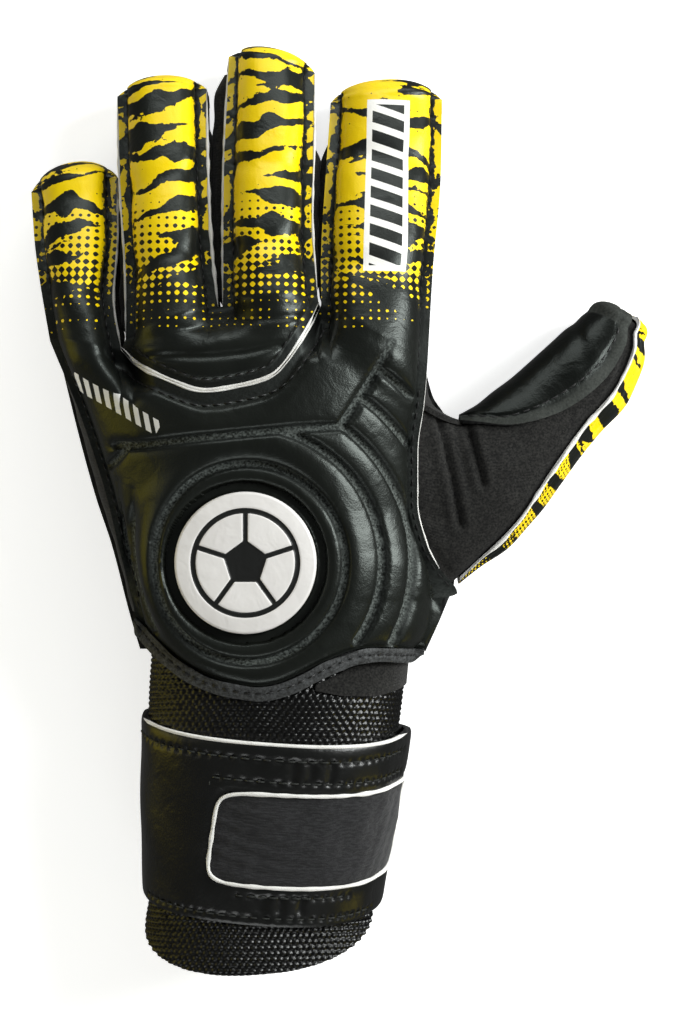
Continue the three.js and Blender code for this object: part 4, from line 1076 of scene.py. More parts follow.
def knuckle_body():
    """Outer and inner grids from the U seam to the roots, with relief and groove."""
    roots, drop = roots_of(("ring", "middle"), "back", ROLL)
    part = (roots[:, 0] - roots[0, 0]) / (roots[-1, 0] - roots[0, 0])
    ahead = unit(at_part(U_SEAM, part + 0.004) - at_part(U_SEAM, part - 0.004))
    low = at_part(U_SEAM, part) + SEAM_GAP * np.stack([-ahead[:, 1], ahead[:, 0]], 1)
    from_end = smooth(0, U_SEAM_END, np.minimum(part, 1 - part) * length_of(U_SEAM))
    lip_z = mix(roots[0, 2], roots[-1, 2], part)
    low_z = mix(lip_z, back_height(low[:, 0], low[:, 1]) - U_SEAM_DEPTH, from_end)
    low_drop = mix(LIP_THICKNESS, BACK_FOAM - U_SEAM_DEPTH, from_end)
    up = np.linspace(0, 1, KNUCKLE["rows"])[:, None]
    x, y = mix(low[:, 0], roots[:, 0], up), mix(low[:, 1], roots[:, 1], up)
    from_root = np.hypot(x - roots[:, 0], y - roots[:, 1])
    crown = lip_z + KNUCKLE["crown"] * (1 - np.abs(2 * part - 1) ** 3) ** (1 / 1.8)
    away = 1 - smooth(1.5, 13, from_root)
    near = bell(roots[:, 0] - roots[:, :1], 6.0) * np.gradient(roots[:, 0])
    rounder = near @ roots[:, 2] / near.sum(1)
    root_z = mix(roots[:, 2], rounder, smooth(0, 6, from_root))
    z = mix(mix(low_z, crown, smooth(0, 1, up)), root_z, away)
    thick = mix(low_drop, drop, up)

    seam = distance_to(U_SEAM, x, y)
    creases = nearest_of(KNUCKLE_CREASES, x, y)
    fade = smooth(0, 10, from_root)
    relief = KNUCKLE["puff"] * rounded((seam - KNUCKLE["flange"]) / 4.5)
    relief = relief - KNUCKLE["crease"] * bell(creases, 1.3)
    relief = (relief + 0.25 * ripple(x, y, 18, 9) * smooth(4, 9, seam)) * fade
    # Painted shade: a groove mark of one half darkens the seam's flange and the low crotch between
    # the two fingers
    in_crotch = bell(from_root, 8) * smooth(57, 50, z)
    scuff_and_shade = 0.5 * np.maximum(1 - smooth(2.6, 3.6, seam), in_crotch)
    return np.stack([x, y, z], -1), np.stack([x, y, z - thick], -1), relief, scuff_and_shade


knuckle_skin = printed_panel(
    "knuckle_skin", "knuckle_panel", knuckle_body(), [(0, "ring", 14), (len(ROLL), "middle", 18)],
)

# %% [markdown]
# ## The palm
# The palm is the thickest foam, 6 mm of black latex for grip. It faces the floor, so its grid
# is coarser. Pressed lines across it let the hand close: one at the heel, one under the
# fingers, and two across each finger.

# %% Palm
PALM_ROLL = finger_columns(2, 20)
PALM_ALONG = rows_along(45, 8)
PALM_ROWS = 76
# Where the lines across the palm's side of a finger lie, in mm from its root
PALM_BENDS = (24, 48)
PALM_LINES = [
    line_through([(-78, 24), (-50, 19), (-15, 23), (20, 33)], 30),
    line_through([(-62, -6), (-35, -2), (-8, -12), (8, -36)], 30),
    line_through([(-60, -24), (-45, -14), (-38, -2)], 20),
]


def make_palm():
    roots, drop = roots_of(FINGERS, "palm", PALM_ROLL)
    up = np.linspace(0, 1, PALM_ROWS)
    across = (roots[:, 0] - roots[0, 0]) / (roots[-1, 0] - roots[0, 0])
    low, high = mix(*PALM_LOW_EDGE, across[:, None])[None], roots[None, :, :2]
    left = edge_line(LEFT_EDGE, "palmX", PALM_LOW_EDGE[0, 1], roots[0, 1], up)[:, None]
    right = edge_line(PALM_RIGHT_EDGE, "x", PALM_LOW_EDGE[1, 1], roots[-1, 1], up)[:, None]
    plan = hand_patch(across[None, :, None], up[:, None, None], low, high, left, right)
    x, y = plan[..., 0], plan[..., 1]
    from_root = np.hypot(x - roots[:, 0], y - roots[:, 1])
    away = 1 - smooth(ROOT_BLEND["from"], ROOT_BLEND["to"], from_root)
    z = mix(palm_height(x, y), roots[:, 2], away)
    side = np.minimum(
        x - look_up(LEFT_EDGE, "palmX", y), look_up(PALM_RIGHT_EDGE, "x", y) - x,
    )
    thick = mix(-foam_at(side, PALM_FOAM), drop, away)
    lines = nearest_of(PALM_LINES, x, y)
    height, floor = pressed_height(lines, np.maximum(side - LIP_WIDTH, 0))
    relief = np.minimum(height, 0.0) * smooth(2, 14, from_root)
    body = (np.stack([x, y, z], -1), np.stack([x, y, z - thick], -1), relief, floor)
    starts = [i * len(PALM_ROLL) for i in range(len(FINGERS))]
    fingers = []
    for start, name in zip(starts, FINGERS):
        outer, inner, _, along = finger_surface(
            name, PALM_ROLL[None], PALM_ALONG[1:, None], "palm",
        )
        bends = np.minimum.reduce([np.abs(along - bend) for bend in PALM_BENDS])
        floor = (1 - smooth(0.8, 1.6, bends)) * smooth(1, 0.8, np.abs(PALM_ROLL))
        fingers.append((start, (outer, inner, -floor, floor)))
    outer, inner, relief, groove = (
        stacked(grid, *((start, grids[i]) for start, grids in fingers))
        for i, grid in enumerate(body)
    )
    present = cells_present(outer, PALM_ROWS, len(PALM_ROLL), starts)
    make_foam(
        "palm_skin", (outer, inner), [black_latex, lining], relief, {"groove": groove}, present,
        cad_node="palm", slot="latex",
    )


make_palm()

# %% [markdown]
# ## Textiles
# Everything that isn't foam is cloth. The gussets and the thumb's web are a fine rib weave,
# matt and near black. The cuff is a coarse knit whose loops are big enough to model one by
# one. The strap is elastic under a glossy coating, and its window shows a brushed loop fabric.

# %% Textile finishes
RIB_PITCH = 0.9


def make_rib_weave():
    # Polyester rib weave: matt yarn with a faint sheen, ribs 0.9 mm apart
    material, add, place = start_material(
        "ribbed textile", "#1C1B19", 0.92, 1.5, Sheen_Weight=0.06, Specular_IOR_Level=0.3,
    )
    along = add("Attribute", attribute_name="rib").outputs["Fac"]
    angle = add("Math", (along, 2 * math.pi / RIB_PITCH), operation="MULTIPLY")
    ribs = add("Math", (angle,), operation="SINE")
    yarn = add("TexNoise", {"Vector": place, "Scale": 1500.0, "Detail": 2.0})
    height = add("Math", (ribs, 0.16, yarn), operation="MULTIPLY_ADD")
    worn = add("TexNoise", {"Vector": place, "Scale": 420.0, "Detail": 4.0, "Roughness": 0.75})
    patches = add("MapRange", {"Value": worn, "From Min": 0.35, "From Max": 0.65})
    crisp = add("MapRange", {"Value": yarn, "From Min": 0.36, "From Max": 0.64})
    weave = add("MixRGB", (crisp, "#040404", "#1B1A18"))
    colour = add("MixRGB", (patches, weave, add("MixRGB", (crisp, "#090908", "#2B2A28"))))
    woven = add("Bump", {"Height": height, "Distance": 0.09 * MM})
    return connect(material, Base_Color=colour, Normal=woven)


def make_knit_yarn():
    # Coarse polyester knit: smooth filament yarn, so each loop has a small highlight
    material, add, place = start_material("rib knit", "#0C0D0C", 0.30, 1.5, Specular_IOR_Level=0.46)
    strands = add("TexNoise", {"Vector": place, "Scale": 1800.0, "Detail": 2.0})
    loops = add("Attribute", attribute_name="loop").outputs["Fac"]
    # Painted shade: the knit turns pure black in the gaps between its loops
    colour = add("MixRGB", (loops, "#000000", add("MixRGB", (strands, "#020202", "#0C0D0C"))))
    spun = add("Bump", {"Height": strands, "Distance": 0.08 * MM})
    return connect(material, Base_Color=colour, Normal=spun)


def make_strap_skin():
    # Polyurethane-coated elastic: smooth and glossy, with a very fine leather grain
    material, add, place = start_material("coated strap", "#1B1C1B", 0.3, 1.5)
    cloudy = add("TexNoise", {"Vector": place, "Scale": 70.0, "Detail": 4.0})
    colour = add("MixRGB", (cloudy, "#070807", "#121312"))
    rough = add("Math", (cloudy, 0.18, 0.24), operation="MULTIPLY_ADD")
    grain = pressed_grain(add, place, 0.7, 0.03)
    return connect(material, Base_Color=colour, Roughness=rough, Normal=grain)


def make_loop_fabric():
    # Brushed loops for the hook tape: dark, rough, in short level dashes
    material, add, place = start_material(
        "loop fabric", "#222124", 0.95, 1.5, Sheen_Weight=0.12, Sheen_Roughness=0.4,
    )
    level, along = (add("Attribute", attribute_name=name).outputs["Fac"] for name in ("row", "rib"))
    across_and_up = [
        add("Math", (value, size), operation="DIVIDE")
        for value, size in ((along, 2.4), (level, 0.6))
    ]
    stretched = add("CombineXYZ", across_and_up)
    streaks = add("TexNoise", {"Vector": stretched, "Scale": 1.0, "Detail": 3.0})
    dashes = add("MapRange", {"Value": streaks, "From Min": 0.4, "From Max": 0.6})
    fuzz = add("TexNoise", {"Vector": place, "Scale": 2200.0, "Detail": 2.0})
    height = add("Math", (fuzz, 1.2, dashes), operation="MULTIPLY_ADD")
    brushed = add("MixRGB", (fuzz, "#121213", "#303032"))
    colour = add("MixRGB", (dashes, add("MixRGB", (fuzz, "#070708", "#1D1C1F")), brushed))
    raised = add("Bump", {"Height": height, "Distance": 0.08 * MM})
    return connect(material, Base_Color=colour, Normal=raised)


def make_grained_fabric():
    # Coated fabric with a coarse printed grain: grey-black, low sheen
    material, add, place = start_material("grained coated fabric", "#3A3B3C", 0.7, 1.5)
    grit = add("TexNoise", {"Vector": place, "Scale": 1100.0, "Detail": 3.0, "Roughness": 0.7})
    sharp = add("MapRange", {"Value": grit, "From Min": 0.35, "From Max": 0.65})
    colour = add("MixRGB", (sharp, "#101111", "#454748"))
    grained = add("Bump", {"Height": grit, "Distance": 0.15 * MM})
    return connect(material, Base_Color=colour, Normal=grained)


def make_thread(name, dark, light, roughness):
    # Bonded polyester sewing thread, black; the strap's thread is smoother, and its lighter colour
    # is a painted glint
    material, add, place = start_material(name, light, roughness, 1.5)
    twist = add("TexWave", {"Vector": place, "Scale": 800.0, "Distortion": 2.0})
    colour = add("MixRGB", (twist, dark, light))
    return connect(material, Base_Color=colour)


rib_weave = make_rib_weave()
knit_yarn = make_knit_yarn()
strap_skin = make_strap_skin()
loop_fabric = make_loop_fabric()
grained_fabric = make_grained_fabric()
thread = make_thread("sewing thread", "#040404", "#121212", 0.55)
# Painted glints: the strap's stitches are coloured lighter
painted_glint_thread = make_thread("sewing thread with painted glints", "#1C1D1C", "#3C3E3B", 0.35)
print(len(bpy.data.materials), "finishes, the last", painted_glint_thread.name)


# %% [markdown]
# ## Gussets between the fingers
# Textile walls stand between the backs and the fronts of the fingers, just inside the lips.
# One strip runs down a finger, round the crotch and up the next. Such strips bulge, because
# the fingers are pressed a little flat, so each wall swells into the gap at half height.

# %% Gussets
WALL_CELLS = 12
# How far a strip's two sides are pressed into each other between two fingers, in mm
PRESSED = 0.6
# How far the walls along the sides of the hand swell, in mm
SIDE_SWELL = 1.2


def finger_side(name, side, swell, flat_tip=0):
    """Stations along one side of a finger, from its root to its tip: place, outward direction,
    heights that the wall stands between and how far it swells. It stays flat near the tip."""
    rows = FINGERS[name][1]
    length = math.hypot(rows["leftX"][-1] - rows["leftX"][0], rows["leftY"][-1] - rows["leftY"][0])
    part = np.linspace(0, 1 - (TIP_FOAM + 2 * GAP) / length, 64)
    at = {key: through(values, part) for key, values in rows.items()}
    edge = np.stack([at["rightX"] - at["leftX"], at["rightY"] - at["leftY"]], 1)
    width = np.linalg.norm(edge, axis=1, keepdims=True)
    far = "left" if side == "right" else "right"
    share = (TEXTILE_INSET + TEXTILE) / width[:, 0]
    near_z, inset_z = at[side + "Z"], mix(at[side + "Z"], at[far + "Z"], share)
    out = edge / width * (1 if side == "right" else -1)
    free = smooth(flat_tip, flat_tip + 14, (1 - part) * length) * smooth(-4, 10, part * length)
    return np.column_stack([
        at[side + "X"], at[side + "Y"], out,
        np.minimum(near_z, inset_z) - LIP_THICKNESS - GAP,
        np.maximum(near_z, inset_z) - at["side"] + LIP_THICKNESS + GAP,
        at[side + "X"], swell * free,
    ])


def standing_wall(name, stations, cad_node):
    """A textile wall from rows of x, y, out x, out y, top z, low z, low x and swell."""
    x, y, out_x, out_y, top, low, low_x, swell = stations.T
    height = np.linspace(0, 1, WALL_CELLS + 1)[:, None]
    belly = np.sin(math.pi * height) ** 0.7
    gone = np.concatenate([[0], np.cumsum(np.hypot(np.diff(x), np.diff(y)))])
    wrinkle = 0.25 * ripple(gone[None] + 0 * height, height * 14, 9, 3) * belly

    def face(inset):
        out = swell * belly + wrinkle - inset
        return np.stack([
            mix(low_x, x, height) + out_x * out, y + out_y * out, mix(low, top, height),
        ], -1)

    piece, _ = make_wall(
        name, (face(TEXTILE_INSET), face(TEXTILE_INSET + TEXTILE)), [rib_weave],
        marks={"rib": np.broadcast_to(gone, (WALL_CELLS + 1, len(gone)))},
        cad_node=cad_node, slot="textile",
    )


def crotch(left, right, swells, flat_tips, name, cad_node):
    """The wall down one finger, round the crotch and up the next. Its two sides press on each
    other halfway between the fingers."""
    down = finger_side(left, "right", swells[0], flat_tips[0])[::-1]
    up = finger_side(right, "left", swells[1], flat_tips[1])
    for own, facing, swell in ((down, up, swells[0]), (up, down[::-1], swells[1])):
        across = np.abs(np.interp(own[:, 1], facing[:, 1], facing[:, 0]) - own[:, 0])
        room = across + 2 * TEXTILE_INSET + PRESSED
        own[:, 7] = np.minimum(own[:, 7], room * swell / sum(swells))
    low, high = down[-1], up[0]
    turn = np.linspace(0, math.pi, 9)[1:-1, None]
    bend = mix(low, high, (1 - np.cos(turn)) / 2)
    bend[:, 1] -= (CROTCH_DROP - TEXTILE_INSET) * np.sin(turn[:, 0])
    bend[:, 2:4] = np.hstack([np.cos(turn), np.sin(turn)])
    standing_wall(name, np.concatenate([down, bend, up]), cad_node)


def hand_side(ys, rows, sign, palm_rows, palm_x, palm_z):
    """Stations down the side of the hand."""
    tilt = 2 * smooth(10, 50, ys)
    return np.column_stack([
        look_up(rows, "x", ys), ys, np.full(len(ys), sign), np.zeros(len(ys)),
        look_up(rows, "z", ys) - LIP_THICKNESS - GAP,
        look_up(palm_rows, palm_z, ys) + LIP_THICKNESS + GAP + tilt,
        look_up(palm_rows, palm_x, ys), np.full(len(ys), SIDE_SWELL),
    ])


outer_side = np.concatenate([
    finger_side("little", "left", 1.4)[::-1],
    hand_side(np.linspace(50, -31, 80), LEFT_EDGE, -1.0, LEFT_EDGE, "palmX", "palmZ"),
])
standing_wall("outer_gusset", outer_side, "gusset_outer")
crotch("little", "ring", (3.4, 4.4), (0, 26), "little_ring_gusset", "gusset_little_ring")
crotch("ring", "middle", (3.4, 5.6), (5, -3), "ring_middle_gusset", "gusset_ring_middle")
crotch("middle", "index", (4.0, 4.0), (22, 6), "middle_index_gusset", "gusset_middle_index")
WEB_CORNER = table("x y outX outY topZ lowZ lowX swell", """
    39.0 29.8 0.05 1.0 31 20 38.5 0
    36.0 30.4 0.2 0.98 34 20 36.5 0.3
    33.0 31.4 0.4 0.92 36.5 20.5 34.5 0.6
    30.0 32.8 0.6 0.8 38.3 21.5 32 0.9
    27.8 34.0 0.85 0.53 39 22.5 31 1.1""")
index_side = np.concatenate([
    np.column_stack([through(values, np.linspace(0, 1, 14)) for values in WEB_CORNER.values()]),
    hand_side(np.linspace(34.5, 43, 10), RIGHT_EDGE, 1.0, PALM_RIGHT_EDGE, "x", "z"),
    finger_side("index", "right", 1.4),
])
standing_wall("index_gusset", index_side, "gusset_index")

# %% [markdown]
# ## The thumb
# The thumb is a rolled tube of four strips: a black latex pad on the inner side, a printed
# foam back on the outer side, and ribbed textile between them above and below. We lay the
# strips on one rounded section that turns and tapers towards the tip, and close the tip.

# %% Thumb sections
THUMB = table("padX padY backX backY midZ halfZ padLip backLip", """
    38.2 30.3 37.9 -22.4 26.3 13 0.05 0.965
    42 32.3 56.5 -8 26 13.5 0.13 0.89
    48 37 70 8.5 23 14 0.38 0.83
    56.5 43.5 81 22.5 19.5 14 0.6 0.80
    68.5 54.2 91.3 33.7 16.5 13.5 0.67 0.78
    76 61 97 46 14.5 12.5 0.68 0.76
    79.6 64.1 97.5 54 13.5 11.5 0.67 0.76""")
THUMB_POWER, THUMB_FOAM, THUMB_INSET, LIP_GAP_ANGLE = 2.3, 4, 1.8, 0.06
THUMB_UNDER = {"pad": 0.42, "back": 0.62}
THUMB_LIPS = [1.0, 1.3, 3.4] + 6 * [THUMB_FOAM] + [3.4, 1.3, 1.0]
THUMB_ROWS = len(THUMB["midZ"])
TUCK_ANGLE = 0.13
TIP = {"reach": 5.2, "power": 0.58, "last": 87}


def lip_angle(share):
    return np.arccos(signed_power(2 * np.asarray(share) - 1, THUMB_POWER / 2))


UPPER_PAD, UPPER_BACK = lip_angle(THUMB["padLip"]), lip_angle(THUMB["backLip"])
LOWER_PAD = np.full(THUMB_ROWS, 2 * math.pi - lip_angle(THUMB_UNDER["pad"]))
LOWER_BACK = np.full(THUMB_ROWS, -lip_angle(THUMB_UNDER["back"]))


def thumb_section(row, angle, inset, turn=0.0):
    """Points of one section. angle is 0 on the thumb's back, a quarter turn on top."""
    at = {key: values[row] for key, values in THUMB.items()}
    across = np.array([at["backX"] - at["padX"], at["backY"] - at["padY"]])
    half = np.linalg.norm(across) / 2
    across /= 2 * half
    scale = math.cos(turn) ** TIP["power"]
    forward = (TIP["reach"] - inset) * math.sin(turn) ** TIP["power"]
    side = (half - inset) * scale * signed_power(np.cos(angle), 2 / THUMB_POWER)
    rise = (at["halfZ"] - inset) * scale * signed_power(np.sin(angle), 2 / THUMB_POWER)
    return np.stack([
        (at["padX"] + at["backX"]) / 2 + across[0] * side - across[1] * forward,
        (at["padY"] + at["backY"]) / 2 + across[1] * side + across[0] * forward,
        at["midZ"] + rise,
    ], -1)


def thumb_strip(low_angle, high_angle, cells, inset, root=None, rows=112, tip_rows=14):
    """A strip's grid between two lips, from the hand to the tip."""
    share = np.linspace(0, 1, cells + 1)
    if np.ndim(inset):
        inset = np.interp(share, np.linspace(0, 1, len(inset)), inset)
    angles = [mix(low, high, share) for low, high in zip(low_angle, high_angle)]
    known = [thumb_section(row, angle, inset) for row, angle in enumerate(angles)]
    if root is not None:
        known.insert(0, root)
    body = through(np.stack(known), np.linspace(0, 1, rows + 1))
    turns = np.radians(np.linspace(0, TIP["last"], tip_rows + 1)[1:])
    tip = [thumb_section(THUMB_ROWS - 1, angles[-1], inset, turn) for turn in turns]
    return np.concatenate([body, tip])


def run_along(grid):
    """Lengths in mm along the rows and across the columns of a grid."""
    down = np.cumsum(np.linalg.norm(np.diff(grid, axis=0), axis=-1), 0)
    over = np.cumsum(np.linalg.norm(np.diff(grid, axis=1), axis=-1), 1)
    return np.pad(down, ((1, 0), (0, 0))), np.pad(over, ((0, 0), (1, 0)))


thumb_along, thumb_across = run_along(thumb_strip(UPPER_PAD, LOWER_PAD, 20, 0.0))
print("the thumb is", round(thumb_along[-1].mean()), "mm long along its pad,", end=" ")
print("and the pad", round(thumb_across.mean(0)[-1]), "mm wide")


# %% Thumb pad, back and textiles
def make_thumb_pad():
    low, high = UPPER_PAD + LIP_GAP_ANGLE, LOWER_PAD - LIP_GAP_ANGLE
    outer, inner = (thumb_strip(low, high, 56, inset) for inset in (0.0, THUMB_LIPS))
    along, across = run_along(outer)
    band = np.minimum(across, np.maximum(along[-1:] - along - 11.5, 0) + 2)
    flange = 1 - smooth(3.0, 3.9, band)
    relief = -0.45 * bell(across - 3.7, 0.6)
    relief = relief - 0.5 * bell(along - 42 - 0.35 * across, 3) * smooth(5, 10, across)
    relief = relief + 0.3 * ripple(along, across, 24, 8)
    return make_foam(
        "thumb_pad_skin", (outer, inner), [black_latex, lining], relief,
        {"groove": 0.85 * flange}, cad_node="thumb_pad", slot="latex",
    )


def make_thumb_back():
    low, high = LOWER_BACK + LIP_GAP_ANGLE, UPPER_BACK - LIP_GAP_ANGLE
    outer, inner = (thumb_strip(low, high, 44, inset) for inset in (0.0, THUMB_LIPS))
    along, across = run_along(outer)
    width = across[:, -1:]
    relief = 0.4 * ripple(along, across, 20, 15) - 0.5 * bell(width - across - 3.2, 0.7)
    ink = brush_ink((width - across) / 2 - 3, along / 1.1, 70.0, 14.0, 64)
    tone = np.interp(along, [0, 12, 30, 45, 60, 72], [0.75, 0.45, 0.0, -0.3, -0.7, -1.3])
    # This strip has finer dots, its tip no strokes, and the band and the row are far away
    marks = {
        "ink": ink + 6 * smooth(-9, -4, along - along.max()),
        "tone": tone + 0.35 * ripple(along, across, 17, 70),
        "print_x": 1.8 * across, "print_y": 1.8 * along, "groove": 0 * relief,
    }
    for name in ("band_across", "band_along", "row_across", "row_along"):
        marks[name] = np.full(relief.shape, 99.0)
    return make_foam(
        "thumb_back_skin", (outer, inner), [printed_foam, lining, raw_foam], relief, marks,
        cad_node="thumb_back", slot="print",
    )


WEB_FOLDS = [
    line_through([(31.5, 27.8), (34.9, 11.6), (37.9, -4)], 20),
    line_through([(41, 23.5), (44.7, 8.6)], 12),
]


def make_thumb_web():
    cells = 44
    y = mix(32.5, -22.4, np.linspace(0, 1, cells + 1))
    x = look_up(RIGHT_EDGE, "x", y) - 1.6
    z = look_up(RIGHT_EDGE, "z", y) - LIP_THICKNESS - 2 * GAP
    grids = [
        thumb_strip(
            UPPER_PAD + TUCK_ANGLE, UPPER_BACK - TUCK_ANGLE, cells, THUMB_INSET + depth,
            np.stack([x, y, z - depth], -1), 124,
        )
        for depth in (0.0, TEXTILE)
    ]
    along, across = run_along(grids[0])
    folds = nearest_of(WEB_FOLDS, grids[0][..., 0], grids[0][..., 1])
    relief = -1.2 * bell(folds, 0.9) + 0.6 * bell(folds - 2.4, 1.5)
    relief = relief + 0.35 * ripple(along / 2.5, across, 9, 31)
    relief = relief * smooth(0, 6, along)
    piece, _ = make_wall(
        "thumb_web_cloth", grids, [rib_weave], relief, {"rib": across},
        cad_node="thumb_web", slot="textile",
    )


def make_thumb_under():
    high = LOWER_BACK + 2 * math.pi
    grids = [thumb_strip(LOWER_PAD, high, 14, THUMB_INSET + depth) for depth in (0.0, TEXTILE)]
    along, across = run_along(grids[0])
    piece, _ = make_wall(
        "thumb_under_cloth", grids, [rib_weave], 0.2 * ripple(along, across, 12, 4),
        {"rib": across}, cad_node="thumb_under", slot="textile",
    )


thumb_pad_skin = make_thumb_pad()
thumb_back_skin = make_thumb_back()
make_thumb_web()
make_thumb_under()

# %% [markdown]
# ## The wrist: cuff, band and hem
# The cuff is a tube of coarse knit. Its loops stand in rows, each row shifted by half a loop,
# so the surface looks like a honeycomb of small bumps, 2.2 mm wide and 1.65 mm high. We raise
# each bump from the grid where it can be seen, and keep the grid coarse under the strap.

# %% Cuff
CUFF = table("y centreX half top low flat", """
    -124 -24.4 33.3 49.8 -2.5 2.9
    -57 -19 38.8 56 -2.5 2.9
    -43.8 -18 39.2 52 -2 5""")
STRAP = {"top": -65, "bottom": -120, "slope": -0.07, "bulge": -4, "start": -12, "rise": 34}
CUFF_TOP = -43.8
KNIT, STRAP_THICKNESS, STRAP_GAP = 2.3, 2.4, 0.5
LOOP = {"wide": 2.2, "high": 1.65, "stand": 0.7}
TUBE_POWER = 2.4


def tube_point(y, degrees, out):
    """A point of the wrist: place along it, angle round it with 90 on top, and how far out."""
    y, degrees, out = np.broadcast_arrays(y, degrees, out)
    angle = np.radians(degrees)
    at = {key: look_up(CUFF, key, y) for key in ("centreX", "half", "top", "low", "flat")}
    middle, rise = (at["top"] + at["low"]) / 2, (at["top"] - at["low"]) / 2 + out
    x = at["centreX"] + (at["half"] + out) * signed_power(np.cos(angle), 2 / TUBE_POWER)
    z = middle + rise * signed_power(np.sin(angle), 2 / TUBE_POWER)
    return np.stack([x, y, np.maximum(z, at["flat"] - out)], -1)


def strap_point(degrees, part, out):
    degrees, part, out = np.broadcast_arrays(degrees, part, out)
    edge = tube_point(mix(STRAP["top"], STRAP["bottom"], part), degrees, out)
    upper = np.maximum(0, np.sin(np.radians(degrees)))
    y = edge[..., 1] + STRAP["slope"] * (edge[..., 0] + 19) + STRAP["bulge"] * upper
    return tube_point(y, degrees, out)


def even_degrees(count, from_degrees, to_degrees):
    """Angles at even distances round the wrist."""
    fine = np.linspace(from_degrees, to_degrees, 2000)
    gone = lengths_along(tube_point(-60.0, fine, 0.0))
    return np.interp(np.linspace(0, gone[-1], count + 1), gone, fine), gone[-1]


def past_strap(y, degrees, flare_y, out):
    """Points of the wrist, with the section kept as it is past the strap's lower edge."""
    points = tube_point(np.maximum(y, flare_y), degrees, out)
    points[..., 1] = y
    return points


def loops_at(around, along):
    """Height of staggered knit bumps."""
    row = np.floor(along / LOOP["high"])
    du = (around / LOOP["wide"] + 0.5 * (row % 2)) % 1 - 0.5
    dv = along / LOOP["high"] - row - 0.5
    return np.sqrt(np.clip(1 - (du / 0.47) ** 2 - (dv / 0.5) ** 2, 0, 1))


def make_cuff():
    top, top_length = even_degrees(264, -6, 186)
    under, under_length = even_degrees(60, 186, 354)
    degrees = np.concatenate([top[:-1], under[:-1]])
    around = np.concatenate([
        np.linspace(0, top_length, len(top))[:-1],
        top_length + np.linspace(0, under_length, len(under))[:-1],
    ])
    upper = np.maximum(0, np.sin(np.radians(degrees)))
    flare_y = strap_point(degrees, 1.0, 0.0)[..., 1] - 2 * GAP
    mouth_x = tube_point(flare_y, degrees, 1.6)[..., 0]
    mouth_y = -126.5 + 0.06 * (mouth_x + 24.4) - 12 * upper
    hidden_from = strap_point(degrees, 0.06, 0.0)[..., 1]
    hidden_to = strap_point(degrees, 0.95, 0.0)[..., 1]
    # Fine rows above and below the strap, and coarse ones under it
    stretches = (
        (np.full(len(degrees), CUFF_TOP), hidden_from, 52),
        (hidden_from, hidden_to, 12),
        (hidden_to, mouth_y, 40),
    )
    y = np.concatenate([
        mix(start, end, (np.arange(count) / count)[:, None]) for start, end, count in stretches
    ] + [mouth_y[None]])
    grow = 1.6 * smooth(0, 1, (flare_y - y) / np.maximum(flare_y - mouth_y, 1))
    seen = 1 - smooth(0.0, 1.2, hidden_from - y) * smooth(0.0, 1.2, y - hidden_to)
    spread = 0.9 * ripple(around + 0 * y, y, 30, 12) * seen
    along = np.abs(y - CUFF_TOP - 3 * upper)
    loops = loops_at(around + 0.5 * ripple(around + 0 * y, y, 16, 2), along)
    relief = LOOP["stand"] * loops * seen * (np.sin(np.radians(degrees)) > -0.3)
    outs = [np.broadcast_to(grow + 0.35 * spread - depth, y.shape) for depth in (0.0, KNIT)]
    outer, inner = (past_strap(y, degrees, flare_y, out) for out in outs)
    points, faces, side_of = wall(outer, inner, None, relief, closed=True)
    piece = make_piece(
        "knit_cuff", points, faces, [knit_yarn, lining], side_of == 1, {"loop": loops},
        cad_node="cuff", slot="knit", crease=80,
    )


make_cuff()


# %% [markdown]
# Above the cuff, on the thumb side, a smooth textile strip shows. The hem is a bound edge: a
# narrow band of grained coated fabric, folded over the back's lower edge and stitched through.

# %% Band and hem
def make_wrist_band():
    degrees = np.linspace(76, -4, 100)[None]
    lower = np.interp(-degrees, [-76, -64, -45, -6], [-53.2, -54.8, -55.4, -53.0])
    upper = np.interp(-degrees, [-76, -60, -40, -6], [-51.5, -46.5, -43.2, -42.0])
    y = mix(lower, upper, np.linspace(0, 1, 19)[:, None])
    grids = [tube_point(y, degrees + 0 * y, out) for out in (1.3, 0.3)]
    along, across = run_along(grids[0])
    relief = 0.25 * ripple(across, along, 14, 6)
    piece, _ = make_wall(
        "wrist_strip", grids, [rib_weave], relief, {"rib": along},
        cad_node="wrist_band", slot="textile",
    )


def make_hem():
    wide = 4.6
    part = np.linspace(0, 1, 170)
    line = at_part(HEM_LINE, part)
    ahead = unit(np.gradient(line, axis=0))
    outward = np.stack([ahead[:, 1], -ahead[:, 0]], 1)
    away = np.concatenate([np.linspace(wide, 0.4, 13), [0.35, -1.0, -2.5]])[:, None, None]
    narrower = 1 - 0.6 * (1 - smooth(0, 0.035, part)) - 0.55 * smooth(0.965, 1, part)
    plan = line[None] + outward[None] * away * narrower[None, :, None]
    top = back_height(line[:, 0], line[:, 1]) + 1.0
    share = away[..., 0] / wide
    # Its last three rows are tucked in under the back
    tuck = 5.3 * (share < 0.08)
    outer = np.concatenate([plan, (top[None] - 1.3 * share ** 3 - tuck)[..., None]], -1)
    inner = np.concatenate([plan, (top[None] - 3.2 - tuck * 0.6)[..., None]], -1)
    along = length_of(HEM_LINE) * part[None]
    channel = bell(away[..., 0] - wide / 2, 0.55) * pull_at(along)
    relief = 0.25 * ripple(along + 0 * share, wide * share, 8, 21) - 0.5 * channel
    relief = relief * (share > 0.08)
    piece, skin = make_wall(
        "hem_binding", (outer, inner), [grained_fabric], relief, cad_node="back_hem", slot="grain",
    )
    # The band's cut width, its visible part and its folds, is an estimated 14 mm.
    # The line below works out the hem's length in metres and keeps nothing.
    float(length_of(HEM_LINE)) * MM
    return skin


make_wrist_band()
hem_skin = make_hem()

# %% [markdown]
# ## The strap
# The strap goes once round the wrist and closes on itself: its window of loop fabric takes
# the hooks. We wind one grid round the wrist, leave the window's cells out, and lay the loop
# fabric in it. Sewing pulls the coated skin down in a line, with small puckers across it.

